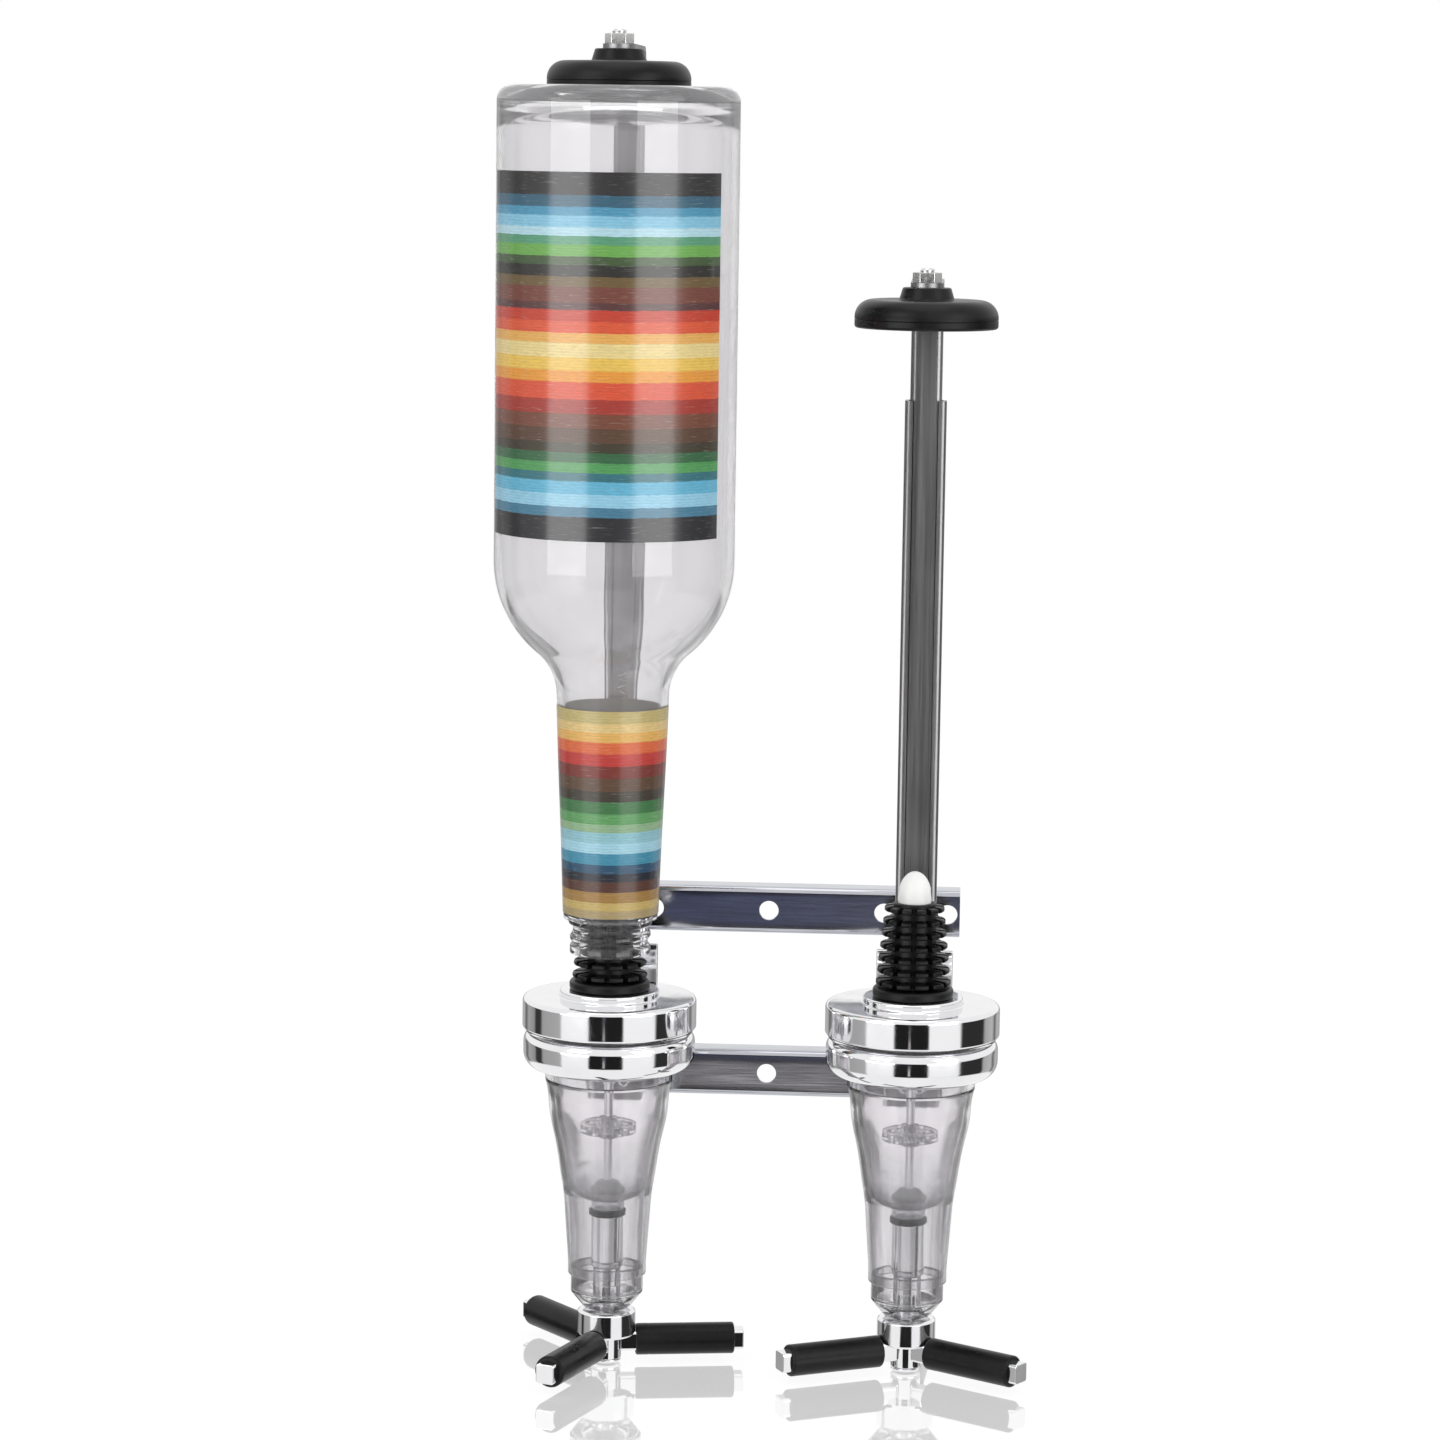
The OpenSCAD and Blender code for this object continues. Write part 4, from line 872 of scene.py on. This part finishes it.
class OPTIC_OT_bottle(bpy.types.Operator):
    """Blows the bottle, with its screw finish and punt, and wraps its two labels round it"""

    bl_idname = "optic.bottle"
    bl_label = "Bottle and labels"

    # In millimetres and degrees
    BODY_R, NECK_R, WALL = 38, 17.8, 2.4
    BODY_LONG, SHOULDER_LONG = 148.3, 43
    LABEL_TURN, LABEL_SWEEP = 7, 136
    THREADS_R, THREADS_LOW, THREADS_HIGH, THREADS_SLANT = 12.2, 18.6, 21, 3

    def execute(self, context):
        axis = AXES["left"]
        base = (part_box("bottle")[1].z - axis.z) / MM
        shoulder = base - self.BODY_LONG
        neck = shoulder - self.SHOULDER_LONG
        # The ball of the shoulder and the hollow curve by the neck touch at one angle from both centres
        bend = ((self.SHOULDER_LONG ** 2 + self.NECK_R ** 2 - self.BODY_R ** 2)
                / (2 * (self.BODY_R - self.NECK_R)))
        meet = math.degrees(math.atan2(self.SHOULDER_LONG, self.NECK_R + bend))
        outside = (
            [(10.4, 14), (12.4, 14)] + arc(12.4, 14.5, 0.5, -90, 0, 4)
            + [(12.9, 16.4), (12.6, 17), (12, 17.4), (12, 18.5), (12.5, 18.8), (12.9, 19.3), (12.9, 20.3),
               (12.5, 20.8), (12, 21.1), (12, 22.8), (12.4, 23.4), (13.3, 23.8), (13.4, 24.2), (13.4, 25.6),
               (13.7, 26)]
            + flow([(14.9, 26.5), (15.1, 27.5), (15.9, 50), (17, 76), (self.NECK_R, neck)], 6)
            + arc(self.NECK_R + bend, neck, bend, 180, 180 - meet, 14)
            + arc(0, shoulder, self.BODY_R, -meet, 0, 22)
            + [(self.BODY_R, base - 60)] + arc(33.2, base - 4.8, 4.8, 0, 90, 12)
            + flow([(30.5, base), (29, base - 0.4), (27.5, base - 1.6), (24, base - 1.9), (15, base - 2.2),
                    (11, base - 4.4), (5, base - 6), (0, base - 6.4)], 4))
        inside = (
            flow([(0, base - 9.8), (8, base - 8.9), (15, base - 6.6), (22, base - 5)], 4)
            + arc(26.1, base - 13.9, 9.5, 82, 0, 14)
            + arc(0, shoulder, self.BODY_R - self.WALL, 0, -meet, 22)
            + arc(self.NECK_R + bend, neck, bend + self.WALL, 180 - meet, 180, 14)
            + flow([(15.4, neck), (13.8, 52), (12.2, 34.5), (9.9, 27), (9.8, 26.5), (9.8, 14.6),
                    (10.4, 14)], 6)[1:-1])
        bottle = turned(outside + inside, axis, steps=144)
        self.slant_threads(bottle, axis)
        settle(bottle, "bottle_blown", "bracket", "bottle_glass", "bottle")
        for node, stripes in (("bottle_label", BODY_STRIPES), ("neck_label", NECK_STRIPES)):
            low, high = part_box(node)
            bottom, top = ((z - axis.z) / MM for z in (low.z, high.z))
            if node == "bottle_label":
                sheet = turned([(38.02, bottom), (38.15, bottom), (38.15, top), (38.02, top)], axis, 72,
                               self.LABEL_SWEEP, -90 - self.LABEL_TURN - self.LABEL_SWEEP / 2)
            else:
                wrap = flow([(15.16, bottom), (15.94, 50), (17.04, 76), (17.7, top)], 6)
                sheet = turned([(r + 0.13, z) for r, z in wrap] + wrap[::-1], axis, 96)
            look = woven_label(node + "_stripes", stripes, high.z, high.z - low.z)
            settle(sheet, node + "_wrapped", "bracket", "label_paper", node, look)
        return {"FINISHED"}

    def slant_threads(self, bottle, axis):
        """Tips the two ridges of the screw finish, so that each runs up as a thread does."""
        only(bottle)
        mode("EDIT")
        out = bottle.matrix_world.translation - axis
        middle = (self.THREADS_LOW + self.THREADS_HIGH) / 2
        choose(bottle, "verts", lambda v: (v.co + out).xy.length > self.THREADS_R * MM
               and self.THREADS_LOW * MM < v.co.z + out.z < self.THREADS_HIGH * MM)
        bpy.ops.transform.rotate(value=math.radians(self.THREADS_SLANT), orient_axis="Y",
                                 center_override=axis + Vector((0, 0, middle * MM)))
        mode("OBJECT")


class OPTIC_OT_springs(bpy.types.Operator):
    """Winds the arm springs, drawn out by the arms, and the return springs, pressed by the spouts"""

    bl_idname = "optic.springs"
    bl_label = "Springs"

    def execute(self, context):
        kinds = (("_pull_spring", 0.35, 24, "_arm"), ("_return_spring", 0.3, 5, "_plunger"))
        for side in SIDES:
            for name, wire, turns, carrier in kinds:
                low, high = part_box(side + name)
                middle = (low + high) / 2
                coil = (high.x - low.x) / 2 / MM - wire
                length = (high.z - low.z) / MM - 2 * wire
                section = [(coil + u, v) for u, v in ring_of(wire, 10)]
                piece = wound(section, Vector((middle.x, middle.y, low.z)), wire, length / turns, turns, 24)
                settle(piece, side + name + "_wound", None, "fastener_steel", side + name)
                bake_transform(piece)
        return {"FINISHED"}


class OPTIC_OT_carried(bpy.types.Operator):
    """Gives the nodes that are shown as they are their finishes"""

    bl_idname = "optic.carried"
    bl_label = "Carried-over pieces"

    def execute(self, context):
        slots = {part["node"]: part["material_slot"] for part in frame["record"]["subparts"]}
        looks = finishes()
        for name, node in frame["nodes"].items():
            node.data.materials.clear()
            node.data.materials.append(looks.get(slots[name], looks["white_plastic"]))
        return {"FINISHED"}


def turn_of(*stops):
    """A ramp once round, from behind past the left, the front and the right, of bearings and grey levels."""
    return tuple((bearing / 360 + 0.5, (grey, grey, grey)) for bearing, grey in stops)


# What bright metal mirrors: black and white screens all round, fading to white past these rises
SCREENS = turn_of(
    (-180, 0.35), (-150, 0.5), (-140, 0.12), (-130, 0.4), (-114, 0.3), (-110, 0.04), (-99, 0.04),
    (-95, 0.38), (-64, 0.45), (-61, 1.0), (-24, 1.0), (-22, 0.015), (22, 0.015), (24, 1.0), (66, 1.0),
    (70, 0.03), (108, 0.03), (113, 0.42), (132, 0.52), (140, 0.14), (150, 0.5), (180, 0.35))
SCREENS_FOOT, SCREENS_HEAD = (-25, -21), (0.5, 3.5)
# What the two crossbars mirror straight ahead: bearings from and to, rises from and to, and colours
UPPER_BAR, LOWER_BAR = (-4.8, 0.8, -11, -9.4), (-3.9, -1, -13.8, -12.34)
BAR_GREY, BAR_NAVY, BAR_PALE = (0.68, 0.64, 0.63), (0.14, 0.155, 0.26), (0.3, 0.3, 0.34)
NAVY_FADES = (-3.2, -0.6)
# What the bottle mirrors: a bright screen on each side, at bearings from and to, above these rises
GLOW_FROM, GLOW_TO = 22, 62
GLOW_RISE = (-10.5, -8.5)
# What clear pieces refract: a white sheet behind with dimmer sides, and darker flags below these rises
SHEET = turn_of(
    (-180, 1.0), (-150, 1.0), (-128, 0.5), (-112, 0.55), (-104, 0.85), (-76, 0.85), (-66, 0.5), (-48, 0.5),
    (-42, 1.0), (12, 1.0), (18, 0.6), (50, 0.5), (56, 0.06), (72, 0.06), (80, 0.8), (102, 0.8), (110, 0.5),
    (125, 0.45), (150, 1.0), (180, 1.0))
FLAGS = turn_of(
    (-180, 1.0), (-174, 1.0), (-167, 0.1), (-112, 0.14), (-96, 0.5), (-62, 0.6), (-56, 1.0), (-34, 1.0),
    (-26, 0.4), (14, 0.34), (20, 0.06), (34, 0.06), (40, 1.0), (84, 1.0), (92, 0.4), (140, 0.22),
    (166, 0.28), (174, 1.0), (180, 1.0))
FLAGS_RISE = (-14.4, -15)


class OPTIC_OT_stage(bpy.types.Operator):
    """Sets up the floor, the lamps, the white surround and the camera"""

    bl_idname = "optic.stage"
    bl_label = "Stage"

    def execute(self, context):
        look = context.scene.studio_look
        self.camera(context)
        self.floor(look)
        self.surround(context, look)
        self.lamps(look)
        context.scene.view_settings.view_transform = "Standard"
        return {"FINISHED"}

    def camera(self, context):
        """A long lens in front of the right station, tipped a little down."""
        yaw, pitch, roll = (math.radians(a) for a in (3.19, 7.90, 0.79))
        forward = Vector(
            (-math.sin(yaw) * math.cos(pitch), math.cos(yaw) * math.cos(pitch), -math.sin(pitch)))
        level = Vector((math.cos(yaw), math.sin(yaw), 0))
        upright = level.cross(forward)
        right = math.cos(roll) * level + math.sin(roll) * upright
        up = math.cos(roll) * upright - math.sin(roll) * level
        lens = bpy.data.cameras.new("camera")
        lens.lens = 106.7
        lens.sensor_width = 36
        lens.clip_start, lens.clip_end = 0.05, 50
        camera = bpy.data.objects.new("camera", lens)
        context.scene.collection.objects.link(camera)
        turn = Matrix((right, up, -forward)).transposed()
        camera.matrix_world = Matrix.Translation((0.06025, -1.38706, 0.28346)) @ turn.to_4x4()
        context.scene.camera = camera

    def floor(self, look):
        bpy.ops.object.select_all(action="DESELECT")
        bpy.ops.mesh.primitive_plane_add(size=6, location=(0, 0, FLOOR_Z))
        floor = bpy.context.object
        floor.name = "floor"
        f = Finish("floor_white")
        seen = f.node("ShaderNodeLightPath", output="Is Camera Ray")
        matt = f.node("ShaderNodeBsdfDiffuse", None, {"Color": (*look.floor_colour, 1)})
        glow = f.node("ShaderNodeEmission", None, {"Color": (1, 1, 1, 1), "Strength": 1.08})
        white = f.laid(seen * 0.8, matt, glow)
        gloss = f.node("ShaderNodeBsdfGlossy", None, {"Color": (1, 1, 1, 1), "Roughness": 0.03})
        f.end(f.laid(0.42, white, gloss))
        floor.visible_glossy = floor.visible_transmission = False
        floor.data.materials.append(f.made)

    def surround(self, context, look):
        """White for the camera, a sheet and flags for clear pieces, screens for mirrors, an even sky."""
        w = Finish("white_surround", "worlds")
        context.scene.world = w.made
        path = {name: w.node("ShaderNodeLightPath", output=name)
                for name in ("Is Camera Ray", "Is Glossy Ray", "Is Transmission Ray")}
        way = w.node("ShaderNodeTexCoord", output="Generated")
        x, y, z = (w.node("ShaderNodeSeparateXYZ", None, {"Vector": way}, axis) for axis in "XYZ")
        bearing = w.maths_of("ARCTAN2", x, 0 - y) * (180 / math.pi)
        rise = w.maths_of("ARCSINE", z) * (180 / math.pi)
        round_it = w.remap(bearing, -180, 180, 0, 1)
        screens, sheet, flags = (w.node("ShaderNodeValToRGB", {"stops": stops}, {0: round_it})
                                 for stops in (SCREENS, SHEET, FLAGS))
        navy = w.mix(w.remap(bearing, *NAVY_FADES, 0, 0.45), BAR_NAVY, BAR_PALE)
        upper, lower = ((bearing > left) * (bearing < right) * (rise > low) * (rise < high)
                        for left, right, low, high in (UPPER_BAR, LOWER_BAR))
        studio = w.mix(lower, w.mix(upper, screens, navy), BAR_GREY)
        aside = w.maths_of("ABSOLUTE", bearing)
        bright = (aside > GLOW_FROM) * (aside < GLOW_TO)
        studio = w.mix(bright * w.remap(rise, *GLOW_RISE, 0, 1), studio, (look.box_glow,) * 3)
        screened = w.remap(rise, *SCREENS_FOOT, 0, 1) * w.remap(rise, *SCREENS_HEAD, 1, 0)
        studio = w.mix(screened, (1.0, 1.0, 1.0), studio)
        sky = w.background(strength=look.sky_strength)
        mirrored = w.background(studio)
        behind = w.mix(w.remap(rise, *FLAGS_RISE, 0, 1), sheet, flags)
        through = w.background(behind)
        white = w.background()
        shader = w.laid(path["Is Glossy Ray"], sky, mirrored)
        shader = w.laid(path["Is Transmission Ray"], shader, through)
        w.end(w.laid(path["Is Camera Ray"], shader, white), "ShaderNodeOutputWorld")

    def lamps(self, look):
        for name, spot, size, power in (
                ("left_softbox", (-0.9, -1.0, 0.9), 0.7, 1.0),
                ("right_softbox", (1.0, -0.8, 0.7), 0.7, 0.8),
                ("top_softbox", (0.0, -0.2, 1.4), 0.9, 0.7)):
            lamp = bpy.data.lights.new(name, "AREA")
            lamp.shape = "SQUARE"
            lamp.size = size
            lamp.energy = look.lamp_power * power
            holder = bpy.data.objects.new(name, lamp)
            bpy.context.scene.collection.objects.link(holder)
            aim = Vector((0, -0.03, 0.1)) - Vector(spot)
            holder.matrix_world = Matrix.Translation(spot) @ aim.to_track_quat("-Z", "Y").to_matrix().to_4x4()


# ---- Panel and registration ----


STEPS = ("crossbars", "tracks", "holders", "caps", "measures", "valves", "stoppers", "pads", "triggers",
         "bottle", "springs", "carried", "stage")


class OPTIC_PT_panel(bpy.types.Panel):
    """Lists the steps that build the dispenser"""

    bl_idname = "OPTIC_PT_panel"
    bl_label = "Spirit optic dispenser"
    bl_space_type = "VIEW_3D"
    bl_region_type = "UI"
    bl_category = "Optic"

    def draw(self, context):
        for group in (context.scene.optic_sizes, context.scene.studio_look):
            box = self.layout.box()
            for name in group.bl_rna.properties.keys():
                if name not in {"rna_type", "name"}:
                    box.prop(group, name)
        for step in STEPS:
            self.layout.operator("optic." + step)


CLASSES = (
    OpticSizes, StudioLook,
    OPTIC_OT_crossbars, OPTIC_OT_tracks, OPTIC_OT_holders, OPTIC_OT_caps, OPTIC_OT_measures,
    OPTIC_OT_valves, OPTIC_OT_stoppers, OPTIC_OT_pads, OPTIC_OT_triggers, OPTIC_OT_bottle,
    OPTIC_OT_springs, OPTIC_OT_carried, OPTIC_OT_stage,
    OPTIC_PT_panel,
)


def register():
    for item in CLASSES:
        bpy.utils.register_class(item)
    bpy.types.Scene.optic_sizes = PointerProperty(type=OpticSizes)
    bpy.types.Scene.studio_look = PointerProperty(type=StudioLook)


def unregister():
    del bpy.types.Scene.studio_look
    del bpy.types.Scene.optic_sizes
    for item in reversed(CLASSES):
        bpy.utils.unregister_class(item)


def main():
    register()
    for step in STEPS:
        getattr(bpy.ops.optic, step)()


if __name__ == "__main__":
    main()
